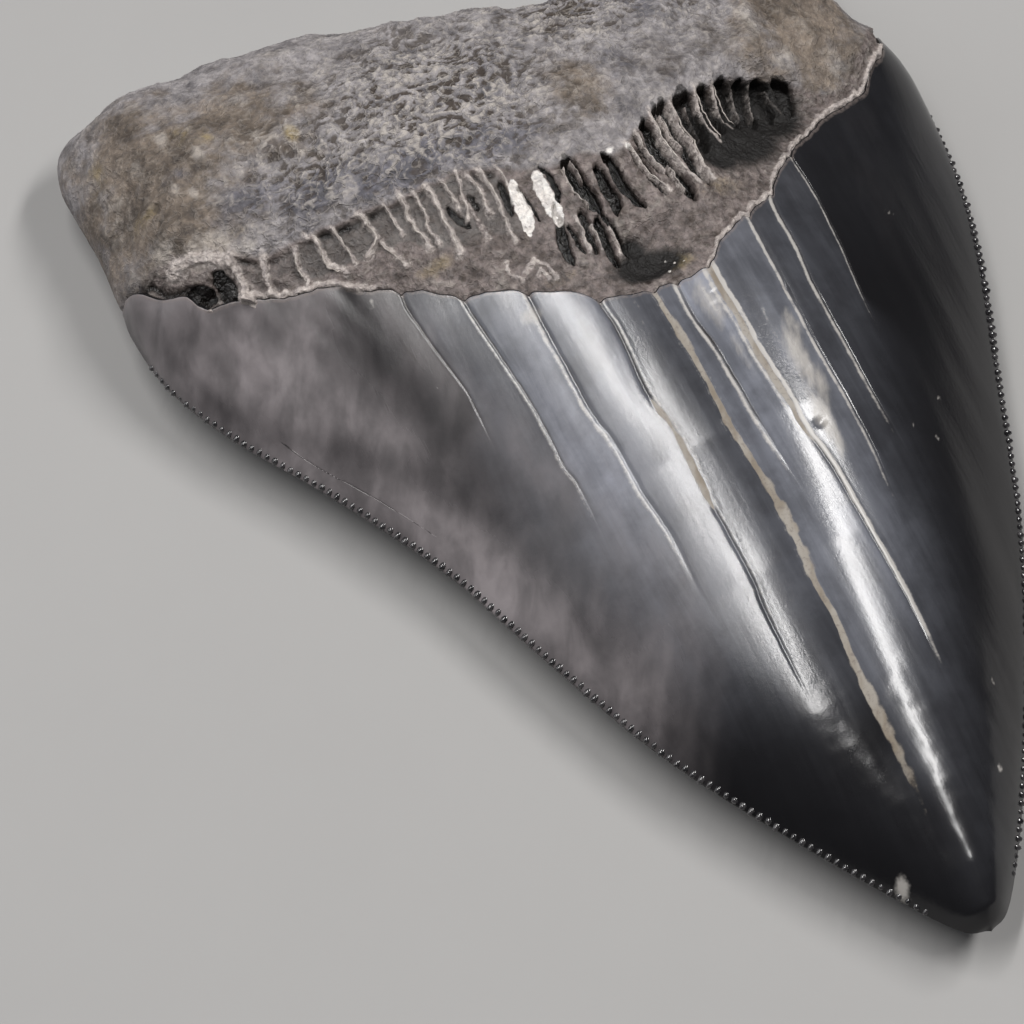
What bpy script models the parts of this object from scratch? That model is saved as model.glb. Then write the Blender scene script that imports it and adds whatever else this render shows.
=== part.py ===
"""A large fossil shark tooth, one solid, lying on its flatter outer face with the bulging inner face up.

+X runs across the shoulders, the tip points to -Y and the root to +Y. The sizes are in millimetres, with
the cutting edges at height zero and the middle of the shoulders at the origin. The last step turns the
mesh into metres and stands the middle of its box on the world's origin.
"""

import bmesh
import bpy
import numpy as np
from mathutils import Vector, noise

MILLIMETRE = 0.001

# Plan of the tooth. The crown is 90 long from the shoulders to the tip and 84 wide.
TIP = (4.2, -90.0)
LEFT_CROWN_EDGE = (TIP, (0.9, -88.0), (-7.2, -76.0), (-14.4, -63.6), (-19.8, -50.6), (-24.4, -38.4),
                   (-31.0, -26.3), (-36.9, -17.0), (-40.2, -9.5), (-41.2, -3.0), (-41.0, 0.5))
RIGHT_CROWN_EDGE = (TIP, (7.0, -88.3), (13.1, -80.0), (21.2, -66.8), (27.7, -54.0), (33.6, -39.7),
                    (39.0, -26.5), (42.0, -16.0), (43.0, -6.5), (42.0, -2.0), (40.8, 0.5))
LEFT_ROOT_SIDE = ((-41.0, 0.5), (-40.8, 8.0), (-41.3, 15.0), (-40.6, 19.2), (-38.8, 21.6), (-36.0, 22.8))
RIGHT_ROOT_SIDE = ((40.8, 0.5), (40.0, 5.0), (40.3, 11.0), (39.8, 15.5), (38.2, 18.8), (35.0, 20.8))
ROOT_TOP = ((-36.0, 22.8), (-28.0, 23.4), (-18.0, 22.8), (-8.0, 20.4), (2.0, 17.4), (11.0, 15.8),
            (20.0, 17.4), (28.0, 20.2), (35.0, 20.8))

# Where the enamel ends: a deep chevron on the inner face, a shallow arch on the outer face.
INNER_ENAMEL_LINE = ((-41.0, 0.5), (-36.0, -5.5), (-27.0, -10.7), (-19.0, -15.4), (-12.5, -19.6),
                     (-3.0, -24.8), (5.0, -26.3), (9.5, -24.0), (16.7, -20.2), (22.0, -15.4), (31.0, -10.2),
                     (38.0, -4.6), (40.8, 0.5))
OUTER_ENAMEL_LINE = ((-41.0, 0.5), (-28.0, -2.6), (-14.0, -6.0), (0.0, -7.6), (14.0, -6.4), (28.0, -3.0),
                     (40.8, 0.5))
# The far side of the ribbed band that lies between the enamel and the root on the inner face.
BAND_TOP_LINE = ((-41.0, 3.5), (-31.0, -5.2), (-23.0, -8.2), (-15.0, -8.9), (-9.0, -11.0), (-2.0, -13.4),
                 (4.0, -14.0), (11.0, -11.6), (18.0, -8.6), (25.0, -6.4), (34.0, -2.4), (40.6, 3.5))

# Height of the inner face along the middle, from the tip to the root, and depth of the outer face.
RIDGE = ((-90.0, 0.0), (-88.5, 2.2), (-85.0, 3.9), (-78.0, 6.2), (-68.0, 8.7), (-55.0, 11.3), (-42.0, 13.4),
         (-28.0, 15.0), (-20.0, 15.9), (-12.0, 17.2), (-4.0, 17.4), (4.0, 15.6), (12.0, 12.8), (18.0, 10.6),
         (24.0, 9.0))
KEEL = ((-90.0, 0.0), (-88.0, 1.2), (-80.0, 2.6), (-62.0, 4.4), (-40.0, 5.6), (-10.0, 6.2), (6.0, 6.0),
        (24.0, 5.0))
# The outer face is worn flat at this depth, and the tooth rests on that flat.
REST_DEPTH = 5.2
ON_THE_FLAT = 0.01

# How full the two faces are across the tooth. A higher squareness keeps the face high for longer.
INNER_FULLNESS = 1.12
ROOT_FALL = 0.38
ROOT_SQUARENESS = 2.2
OUTER_SQUARENESS = 2.4
OUTER_FULLNESS = 0.95
OUTER_ROOT_FALL = 0.3
# Where the crown's section turns into the root's, and over what length.
ROOT_STARTS_Y = -6.0
ROOT_BLEND = 3.5

MARGIN_WIDTH = 2.0
MARGIN_BEVEL = 0.55
INNER_ROUNDING = 8.0
OUTER_ROUNDING = 5.0
ENAMEL_STEP = 0.55
BAND_DEPTH = 0.5
OUTER_BAND_WIDTH = 3.0
LEAST_HEIGHT = 0.2

# Serrations: four to each step between two rows of the crown, about 0.8 apart.
SERRATIONS_PER_STEP = 4
SERRATION_DEPTH = 0.38

# Cells between the ribs of the band.
RIB_WIDTH = 0.55
CELL_DEPTH = 0.6
CELLS_FROM_X = -31.0
CELLS_TO_X = 28.0

# Lumps of the root: size across and height, coarse and fine. They fade out over the crown's shoulders.
LUMPS = ((7.0, 0.75), (2.8, 0.38))
LUMPS_REACH_DOWN = 4.0
FAINTEST_LUMP = 0.05
NOISE_SEED = Vector((11.3, 4.7, 8.9))

# Dents of the inner face: middle, reach along X and Y, depth.
DENTS = (((21.5, -9.0), (5.5, 3.2), 1.3), ((4.0, -21.5), (3.6, 2.0), 0.9), ((-5.0, 9.5), (5.0, 2.6), 0.7),
         ((8.0, -3.0), (3.4, 5.0), -0.5), ((-37.0, -3.0), (4.0, 1.6), 0.9), ((-24.0, 2.0), (9.0, 2.6), 0.6))

COLUMNS = 40
CROWN_ROWS = 30
ROOT_ROWS = 14
CURVE_STEPS = 24
# The crown's rows bend towards the enamel's line with the power of their share of the crown.
BEND_POWER = 1.3
# Shares of the root's sides where the band's middle and upper rows end, and how the middle row bends.
BAND_MIDDLE_END = 0.04
BAND_TOP_END = 0.12
BAND_MIDDLE_BEND = 0.28
# Columns: the widest margin as a share of the row, and how much they crowd at the root's sides, from
# this height of the row's end and over this length.
WIDEST_MARGIN = 0.12
ROOT_CROWDING = 0.65
CROWDING_FROM_Y = -4.0
CROWDING_OVER = 8.0

SLATE_BLACK = (0.09, 0.09, 0.10, 1.0)
ENAMEL_ROUGHNESS = 0.3


def smooth_curve(points):
    """Dense points of a smooth curve that passes through the given ones."""
    given = np.array(points, float)
    padded = np.vstack([2 * given[0] - given[1], given, 2 * given[-1] - given[-2]])
    t = np.linspace(0.0, 1.0, CURVE_STEPS, endpoint=False)[:, None]
    spans = []
    for before, start, end, after in zip(padded, padded[1:], padded[2:], padded[3:]):
        cubic = 3 * start - before - 3 * end + after
        square = 2 * before - 5 * start + 4 * end - after
        spans.append(start + 0.5 * ((end - before) * t + square * t**2 + cubic * t**3))
    return np.vstack(spans + [given[-1:]])


def along(curve, fractions):
    """Points at the given shares of the curve's length."""
    steps = np.linalg.norm(np.diff(curve, axis=0), axis=1)
    walked = np.concatenate([[0.0], np.cumsum(steps)]) / steps.sum()
    return np.stack([np.interp(fractions, walked, curve[:, axis]) for axis in (0, 1)], axis=-1)


LEFT_CROWN = smooth_curve(LEFT_CROWN_EDGE)
RIGHT_CROWN = smooth_curve(RIGHT_CROWN_EDGE)
LEFT_ROOT = smooth_curve(LEFT_ROOT_SIDE)
RIGHT_ROOT = smooth_curve(RIGHT_ROOT_SIDE)
LEFT_SIDE = np.vstack([LEFT_CROWN, LEFT_ROOT[1:]])
RIGHT_SIDE = np.vstack([RIGHT_CROWN, RIGHT_ROOT[1:]])
TOP = smooth_curve(ROOT_TOP)


def across(x, y):
    """Place across the tooth, from -1 at the left edge to 1 at the right edge."""
    left = np.interp(y, LEFT_SIDE[:, 1], LEFT_SIDE[:, 0])
    right = np.interp(y, RIGHT_SIDE[:, 1], RIGHT_SIDE[:, 0])
    half = np.maximum((right - left) / 2, 1e-6)
    return np.clip((x - (left + right) / 2) / half, -1.0, 1.0), half


def root_share(y):
    """0 on the crown, 1 on the root, with a soft change about the shoulders."""
    return 1 / (1 + np.exp(-(y - ROOT_STARTS_Y) / ROOT_BLEND))


def rounding(distance, radius):
    """0 at the outline and 1 past the radius, as a quarter of a circle."""
    return np.sqrt(1 - (1 - np.clip(distance / radius, 0.0, 1.0)) ** 2)


def root_end(x, y, radius):
    """Rounding round the end of the root."""
    return rounding(np.interp(x, TOP[:, 0], TOP[:, 1]) - y, radius)


def edge_bevel(inside):
    """Height that the narrow bevel along a cutting edge adds."""
    return MARGIN_BEVEL * (1 - np.exp(-inside / (MARGIN_WIDTH / 2)))


def inner_height(x, y):
    """Height of the bulging inner face."""
    place, half = across(x, y)
    inside = (1 - np.abs(place)) * half
    root = root_share(y)
    ridge = np.interp(y, *np.array(RIDGE).T)
    crown_form = ridge * (1 - place**2) ** INNER_FULLNESS + edge_bevel(inside)
    root_form = ridge * (1 - ROOT_FALL * np.abs(place) ** ROOT_SQUARENESS)
    root_form *= rounding(inside, INNER_ROUNDING)
    height = (crown_form * (1 - root) + root_form * root) * root_end(x, y, INNER_ROUNDING)
    for (at_x, at_y), (reach_x, reach_y), depth in DENTS:
        height -= depth * np.exp(-(((x - at_x) / reach_x) ** 2) - ((y - at_y) / reach_y) ** 2)
    return np.where(np.abs(place) < 1, np.maximum(height, 0.0), 0.0)


def outer_height(x, y):
    """Height of the flatter outer face, which the tooth rests on."""
    place, half = across(x, y)
    root = root_share(y)
    keel = np.interp(y, *np.array(KEEL).T)
    crown_form = (1 - np.abs(place) ** OUTER_SQUARENESS) ** OUTER_FULLNESS
    inside = (1 - np.abs(place)) * half
    root_form = (1 - OUTER_ROOT_FALL * place**2) * rounding(inside, OUTER_ROUNDING)
    depth = keel * (crown_form * (1 - root) + root_form * root) * root_end(x, y, OUTER_ROUNDING)
    return -np.minimum(depth, REST_DEPTH)


def row_places(width, root):
    """Places of the columns across one row, with a margin at each end, and crowded there on the root."""
    margin = min(MARGIN_WIDTH / width, WIDEST_MARGIN) * 2
    inner = np.linspace(-1 + margin, 1 - margin, COLUMNS - 1)
    crown = np.concatenate([[-1.0], inner, [1.0]])
    round_end = np.sin(np.linspace(-0.5, 0.5, COLUMNS + 1) * np.pi)
    share = ROOT_CROWDING * root
    return (1 - share) * crown + share * round_end


def deviation(curve, x, ends_y, place):
    """How far a line lies from the straight line between its own ends."""
    straight = ends_y[0] + (ends_y[1] - ends_y[0]) * (place + 1) / 2
    return np.interp(x, curve[:, 0], curve[:, 1]) - straight


def row_plan(left, right, lines):
    """Plan points of one row between its two ends, bent by (line, share) pairs."""
    width = right[0] - left[0]
    root = float(np.clip((left[1] - CROWDING_FROM_Y) / CROWDING_OVER, 0.0, 1.0))
    place = row_places(max(width, 1e-3), root)
    x = left[0] + width * (place + 1) / 2
    y = left[1] + (right[1] - left[1]) * (place + 1) / 2
    for line, share in lines:
        line_x = line[0, 0] + (line[-1, 0] - line[0, 0]) * (place + 1) / 2
        y = y + share * deviation(line, line_x, (line[0, 1], line[-1, 1]), place)
    return x, y


def face_rows(enamel_line, band_line):
    """Plan points of every row of one face, from the tip to the end of the root."""
    enamel = smooth_curve(enamel_line)
    band = smooth_curve(band_line)
    rows = []
    for step in range(CROWN_ROWS + 1):
        share = step / CROWN_ROWS
        left, right = along(LEFT_CROWN, share), along(RIGHT_CROWN, share)
        rows.append(row_plan(left, right, ((enamel, share**BEND_POWER),)))
    middle_ends = along(LEFT_ROOT, BAND_MIDDLE_END), along(RIGHT_ROOT, BAND_MIDDLE_END)
    top_ends = along(LEFT_ROOT, BAND_TOP_END), along(RIGHT_ROOT, BAND_TOP_END)
    rows.append(row_plan(*middle_ends, ((enamel, 1 - BAND_MIDDLE_BEND), (band, BAND_MIDDLE_BEND))))
    rows.append(row_plan(*top_ends, ((band, 1.0),)))
    for step in range(1, ROOT_ROWS + 1):
        share = np.sin(step / ROOT_ROWS * np.pi / 2)
        ends = BAND_TOP_END + (1 - BAND_TOP_END) * share
        left, right = along(LEFT_ROOT, ends), along(RIGHT_ROOT, ends)
        rows.append(row_plan(left, right, ((band, 1 - share), (TOP, share))))
    return rows


def add_face(mesh, rows, height, inward):
    """Adds one face of the tooth as a grid whose points take their places from the rows."""
    grid = bmesh.ops.create_grid(mesh, x_segments=COLUMNS, y_segments=len(rows) - 1, size=1.0)
    order = sorted(grid["verts"], key=lambda point: (round(point.co.y, 4), point.co.x))
    for number, (x, y) in enumerate(rows):
        z = height(x, y) * (number < len(rows) - 1)
        points = order[number * (COLUMNS + 1):(number + 1) * (COLUMNS + 1)]
        for point, place in zip(points, zip(x, y, z)):
            point.co = place
    if inward:
        bmesh.ops.reverse_faces(mesh, faces=list({face for point in order for face in point.link_faces}))
    return [order[at:at + COLUMNS + 1] for at in range(0, len(order), COLUMNS + 1)]


def sink_band(rows):
    """Lowers the ribbed band under the enamel and the root."""
    for point in rows[CROWN_ROWS][1:-1]:
        point.co.z = max(point.co.z - ENAMEL_STEP - BAND_DEPTH, LEAST_HEIGHT)
    for point in rows[CROWN_ROWS + 1][1:-1]:
        point.co.z = max(point.co.z - BAND_DEPTH, LEAST_HEIGHT)


def halve(mesh, one, other):
    """Puts a point in the middle of the edge between two points."""
    return bmesh.utils.edge_split(mesh.edges.get((one, other)), one, 0.5)[1]


def cut_cells(mesh, rows):
    """Cuts a row of small pits, which leaves thin ribs between them."""
    lower, upper = rows[CROWN_ROWS + 1], rows[CROWN_ROWS + 2]
    cells = []
    for column in range(COLUMNS):
        if not CELLS_FROM_X < lower[column].co.x < CELLS_TO_X:
            continue
        low = halve(mesh, lower[column], lower[column + 1])
        high = halve(mesh, upper[column], upper[column + 1])
        both = (set(low.link_faces) & set(high.link_faces)).pop()
        cells += [both, bmesh.utils.face_split(both, low, high)[0]]
    bmesh.ops.inset_individual(mesh, faces=cells, thickness=RIB_WIDTH / 2, depth=-CELL_DEPTH)


def beside(face, point, apart_from):
    """The neighbour of a point round a face that isn't the given one."""
    loop = next(corner for corner in face.loops if corner.vert == point)
    around = (loop.link_loop_next.vert, loop.link_loop_prev.vert)
    return around[0] if around[0] != apart_from else around[1]


def join(point, corner):
    """Splits the face that holds both points along the line between them."""
    shared = set(point.link_faces) & set(corner.link_faces)
    bmesh.utils.face_split(shared.pop(), point, corner)


def cut_serrations(mesh, edge_points, inward_x):
    """Divides one cutting edge, moves every second new point inwards and fans both faces out from them."""
    parts = 2 * SERRATIONS_PER_STEP
    for one, other in zip(edge_points, edge_points[1:]):
        edge = mesh.edges.get((one, other))
        corners = [(beside(face, one, other), beside(face, other, one)) for face in edge.link_faces]
        run = (other.co - one.co).normalized()
        inward = Vector((run.y, -run.x, 0.0))
        if inward.x * inward_x < 0:
            inward.negate()
        notches = []
        last = one
        for left_over in range(parts, 1, -1):
            last = bmesh.utils.edge_split(mesh.edges.get((last, other)), last, 1 / left_over)[1]
            notches.append(last)
        for near, far in corners:
            for point in notches[:SERRATIONS_PER_STEP]:
                join(point, near)
            for point in notches[SERRATIONS_PER_STEP - (near != far):]:
                join(point, far)
        for point in notches[::2]:
            point.co += inward * SERRATION_DEPTH


def roughen_root(mesh, rows):
    """Moves the points of the root in and out along their normals, as lumps and hollows."""
    crown = {point for row in rows[:CROWN_ROWS + 1] for point in row}
    mesh.normal_update()
    moves = []
    for point in mesh.verts:
        share = float(root_share(point.co.y + LUMPS_REACH_DOWN))
        if point in crown or share < FAINTEST_LUMP or point.co.z < -REST_DEPTH + ON_THE_FLAT:
            continue
        lump = sum(noise.noise(point.co / size + NOISE_SEED) * tall for size, tall in LUMPS)
        moves.append((point, point.normal * lump * share))
    for point, move in moves:
        point.co += move
        point.co.z = max(point.co.z, -REST_DEPTH)


def tooth_mesh():
    """The whole tooth as one closed mesh, in millimetres."""
    mesh = bmesh.new()
    inner_rows = add_face(mesh, face_rows(INNER_ENAMEL_LINE, BAND_TOP_LINE), inner_height, inward=False)
    outer_band = tuple((x, y + OUTER_BAND_WIDTH) for x, y in OUTER_ENAMEL_LINE)
    outer_rows = add_face(mesh, face_rows(OUTER_ENAMEL_LINE, outer_band), outer_height, inward=True)
    sink_band(inner_rows)
    weld = {}
    for inner, outer in zip(inner_rows, outer_rows):
        weld[outer[0]] = inner[0]
        weld[outer[-1]] = inner[-1]
    weld.update(zip(outer_rows[-1], inner_rows[-1]))
    tip = inner_rows[0][0]
    for point in inner_rows[0][1:] + outer_rows[0]:
        weld[point] = tip
    bmesh.ops.weld_verts(mesh, targetmap=weld)
    left = [row[0] for row in inner_rows[1:CROWN_ROWS]]
    right = [row[-1] for row in inner_rows[1:CROWN_ROWS]]
    roughen_root(mesh, inner_rows)
    cut_cells(mesh, inner_rows)
    cut_serrations(mesh, [tip] + left, inward_x=1)
    cut_serrations(mesh, [tip] + right, inward_x=-1)
    bmesh.ops.triangulate(mesh, faces=mesh.faces)
    bmesh.ops.recalc_face_normals(mesh, faces=mesh.faces)
    return mesh


def stand_on_origin(mesh):
    """Turns millimetres into metres and stands the middle of the box on the origin."""
    places = np.array([point.co for point in mesh.verts])
    low, high = places.min(axis=0), places.max(axis=0)
    middle = Vector(((low[0] + high[0]) / 2, (low[1] + high[1]) / 2, low[2]))
    for point in mesh.verts:
        point.co = (point.co - middle) * MILLIMETRE


def tooth_material():
    """Dark glossy enamel colour for the whole solid."""
    material = bpy.data.materials.new("dark_fossil_enamel")
    material.use_nodes = True
    shader = material.node_tree.nodes["Principled BSDF"]
    shader.inputs["Base Color"].default_value = SLATE_BLACK
    shader.inputs["Roughness"].default_value = ENAMEL_ROUGHNESS
    return material


def main():
    for thing in list(bpy.data.objects):
        bpy.data.objects.remove(thing, do_unlink=True)
    collection = bpy.data.collections.new("fossil_shark_tooth")
    bpy.context.scene.collection.children.link(collection)
    mesh = tooth_mesh()
    stand_on_origin(mesh)
    data = bpy.data.meshes.new("tooth")
    mesh.to_mesh(data)
    mesh.free()
    tooth = bpy.data.objects.new("tooth", data)
    tooth.data.materials.append(tooth_material())
    collection.objects.link(tooth)


if __name__ == "__main__":
    main()
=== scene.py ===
"""Finish of a large fossil shark tooth that lies on its flatter outer face.

Three closed shells make the tooth: glossy, cracked enamel over the crown, the ribbed band that shows
where the enamel ends on the inner face, and the wrinkled root. Small pieces follow its lines: the beads
of the two cutting edges and the crests of the band's ribs. Sizes are in millimetres in the tooth's own
plan: +X runs across the shoulders, the tip points to -Y, and the cutting edges lie at height zero.
"""

import functools
import itertools
import logging
import math
from dataclasses import dataclass, field
from enum import Enum

import bpy
import numpy as np
from mathutils import Matrix, Vector, noise


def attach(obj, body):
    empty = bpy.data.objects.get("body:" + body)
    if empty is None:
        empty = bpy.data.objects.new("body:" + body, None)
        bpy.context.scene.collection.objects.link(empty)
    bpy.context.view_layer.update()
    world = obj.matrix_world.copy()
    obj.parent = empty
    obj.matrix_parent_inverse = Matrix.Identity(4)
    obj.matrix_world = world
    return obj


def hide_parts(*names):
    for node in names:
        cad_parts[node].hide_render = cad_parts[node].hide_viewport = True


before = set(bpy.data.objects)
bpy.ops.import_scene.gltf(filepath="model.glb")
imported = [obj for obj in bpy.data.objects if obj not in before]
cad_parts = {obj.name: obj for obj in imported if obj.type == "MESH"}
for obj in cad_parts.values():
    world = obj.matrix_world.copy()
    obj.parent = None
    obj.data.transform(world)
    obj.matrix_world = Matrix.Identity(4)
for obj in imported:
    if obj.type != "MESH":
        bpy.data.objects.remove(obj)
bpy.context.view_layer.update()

Array = np.ndarray
Point = tuple[float, float]
Colour = tuple[float, float, float]
Socket = bpy.types.NodeSocket
Sockets = bpy.types.bpy_prop_collection

logging.basicConfig(level=logging.INFO, format="%(message)s")
log = logging.getLogger("fossil_tooth")

MILLIMETRE = 0.001
BODY = "root"
NODE = "tooth"
TINY = 1e-6

# Plan of the tooth, as its solid has it.
TIP = (4.2, -90)
LEFT_CROWN_EDGE = (TIP, (0.9, -88), (-7.2, -76), (-14.4, -63.6), (-19.8, -50.6), (-24.4, -38.4),
                    (-31, -26.3), (-36.9, -17), (-40.2, -9.5), (-41.2, -3), (-41, 0.5))
RIGHT_CROWN_EDGE = (TIP, (7, -88.3), (13.1, -80), (21.2, -66.8), (27.7, -54), (33.6, -39.7), (39, -26.5),
                     (42, -16), (43, -6.5), (42, -2), (40.8, 0.5))
LEFT_ROOT_SIDE = ((-41, 0.5), (-40.8, 8), (-41.3, 15), (-40.6, 19.2), (-38.8, 21.6), (-36, 22.8))
RIGHT_ROOT_SIDE = ((40.8, 0.5), (40, 5), (40.3, 11), (39.8, 15.5), (38.2, 18.8), (35, 20.8))
ROOT_TOP = ((-36, 22.8), (-28, 23.4), (-18, 22.8), (-8, 20.4), (2, 17.4), (11, 15.8), (20, 17.4),
             (28, 20.2), (35, 20.8))
OUTER_ENAMEL_LINE = ((-41, 0.5), (-28, -2.6), (-14, -6), (0, -7.6), (14, -6.4), (28, -3), (40.8, 0.5))
RIDGE = ((-90, 0), (-88.5, 2.2), (-85, 3.9), (-78, 6.2), (-68, 8.7), (-55, 11.3), (-42, 13.4), (-28, 15),
          (-20, 15.9), (-12, 17.2), (-4, 17.4), (4, 15.6), (12, 12.8), (18, 10.6), (24, 9))
KEEL = ((-90, 0), (-88, 1.2), (-80, 2.6), (-62, 4.4), (-40, 5.6), (-10, 6.2), (6, 6), (24, 5))
REST_DEPTH = 5.2
HALF_SHOULDERS = 41.0
MARGIN_WIDTH = 2.0
MARGIN_BEVEL = 0.55
INNER_ROUNDING = 8.0
OUTER_ROUNDING = 5.0
LUMPS = ((7, 0.75), (2.8, 0.38))
LUMP_SEED = Vector((11.3, 4.7, 8.9))
DENTS = (((21.5, -9), (5.5, 3.2), 1.3), ((4, -21.5), (3.6, 2), 0.9), ((-5, 9.5), (5, 2.6), 0.7),
         ((8, -3), (3.4, 5), -0.5), ((-37, -3), (4, 1.6), 0.9), ((-24, 2), (9, 2.6), 0.6))
MIDDLE = (0.887, -33.253, -REST_DEPTH)
RIB_SEED = 12.0

# Lines of the inner face: the ragged edge of the enamel, and the upper and lower ends of the band's ribs.
ENAMEL_EDGE = ((-41, 0.5), (-38.4, -3.4), (-36.4, -5.2), (-35.3, -7.1), (-32.6, -8), (-29.3, -9.8),
                (-24.5, -11.7), (-21.9, -13.8), (-19, -15.4), (-14.3, -19), (-12, -19.8), (-6.5, -23),
                (-3.4, -25.2), (1, -26.5), (5, -26.6), (8, -25.8), (9.7, -23.9), (13.2, -21.9),
                (16.5, -20.4), (18.4, -18.4), (21.3, -16), (23.2, -14.6), (29.3, -10.9), (33.1, -9.5),
                (35.6, -7), (38.5, -4.4), (40.8, 0.5))
RIB_TOPS = ((-40, -0.6), (-36.5, -1.6), (-33.4, -3.4), (-31.7, -4.6), (-29, -6.2), (-24.2, -6.9),
             (-19.5, -7.4), (-13, -7.9), (-9, -8.4), (-6.6, -9.5), (-3.9, -10.9), (-1.1, -11.6),
             (1.1, -11.3), (3.7, -12.4), (5.7, -11.6), (8.1, -10), (10.3, -8.6), (13.4, -7.9), (17.6, -6.8),
             (21.5, -6.9), (25, -7.8), (27.5, -8.8), (31, -8.9), (36, -4.4), (40, 0.4))
RIB_FEET = ((-40, -1.2), (-35.5, -5), (-31.6, -8.6), (-26.3, -10.3), (-20.3, -11.3), (-17.1, -12),
             (-15.2, -13.6), (-13, -14.6), (-10, -15.2), (-6.6, -16.6), (-3.9, -18.4), (0.8, -20.4),
             (3.9, -18.8), (7.5, -18), (10.9, -17.6), (15.6, -15.8), (18, -16.6), (21, -15.2), (25, -12.2),
             (28, -10.4), (33, -8.6), (40, 0.2))


class Girth(Enum):
    """Half width of a wall of the band, in millimetres."""

    HAIR = 0.11
    THIN = 0.17
    FULL = 0.25
    BROAD = 0.36
    SLAB = 0.60


class Shade(Enum):
    """How dark the floor of a cell of the band is, from 0 to 1."""

    BROWN = 0.8
    BLACK = 1.0


@dataclass(frozen=True)
class Crack:
    """A lengthwise crack of the enamel.

    Its lips have a paleness each, left and right, at the head and at the foot. Dark, clay and plate are
    pairs of a place along Y and a value: the darkness of the groove, the half width of the clay in it, and
    the paleness of the plate at its right, which is part stain and part painted reflection of the softboxes.
    """

    path: tuple[Point, ...]
    plate: tuple[Point, ...]
    dark: tuple[Point, ...] = ((-20, 0.8), (-60, 0.5))
    lips: tuple[float, float] = (0.4, 0.3)
    foot_lips: tuple[float, float] = (0.3, 0.1)
    width: float = 0.12
    lip_width: float = 0.15
    clay: tuple[Point, ...] = ((-20, 0), (-90, 0))


@dataclass(frozen=True)
class Mark:
    """A fine line on the enamel: pale above 0, dark below 0."""

    path: tuple[Point, ...]
    half: float = 0.12
    pale: float = 0.6


@dataclass(frozen=True)
class Rib:
    """A wall of the band: its path, half width, how far it stands up, and how pale its top is, part chalk and
    part painted highlight.
    """

    path: tuple[Point, ...]
    girth: Girth = Girth.THIN
    tall: float = 0.12
    pale: float = 0.8


@dataclass(frozen=True)
class Cell:
    """A lens-shaped hollow of the band: its path, half width, depth and shade."""

    path: tuple[Point, ...]
    half: float
    depth: float = 1.1
    shade: Shade = Shade.BLACK


@dataclass(frozen=True)
class Spot:
    """A soft patch: middle, reach along X and Y, and strength."""

    at: Point
    reach: Point
    strength: float


def spots(*rows: tuple[float, float, float, float, float]) -> tuple[Spot, ...]:
    """Soft patches from rows of place along X and Y, reach along X and Y, and strength."""
    return tuple(Spot((x, y), (across, along), strength) for x, y, across, along, strength in rows)


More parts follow.
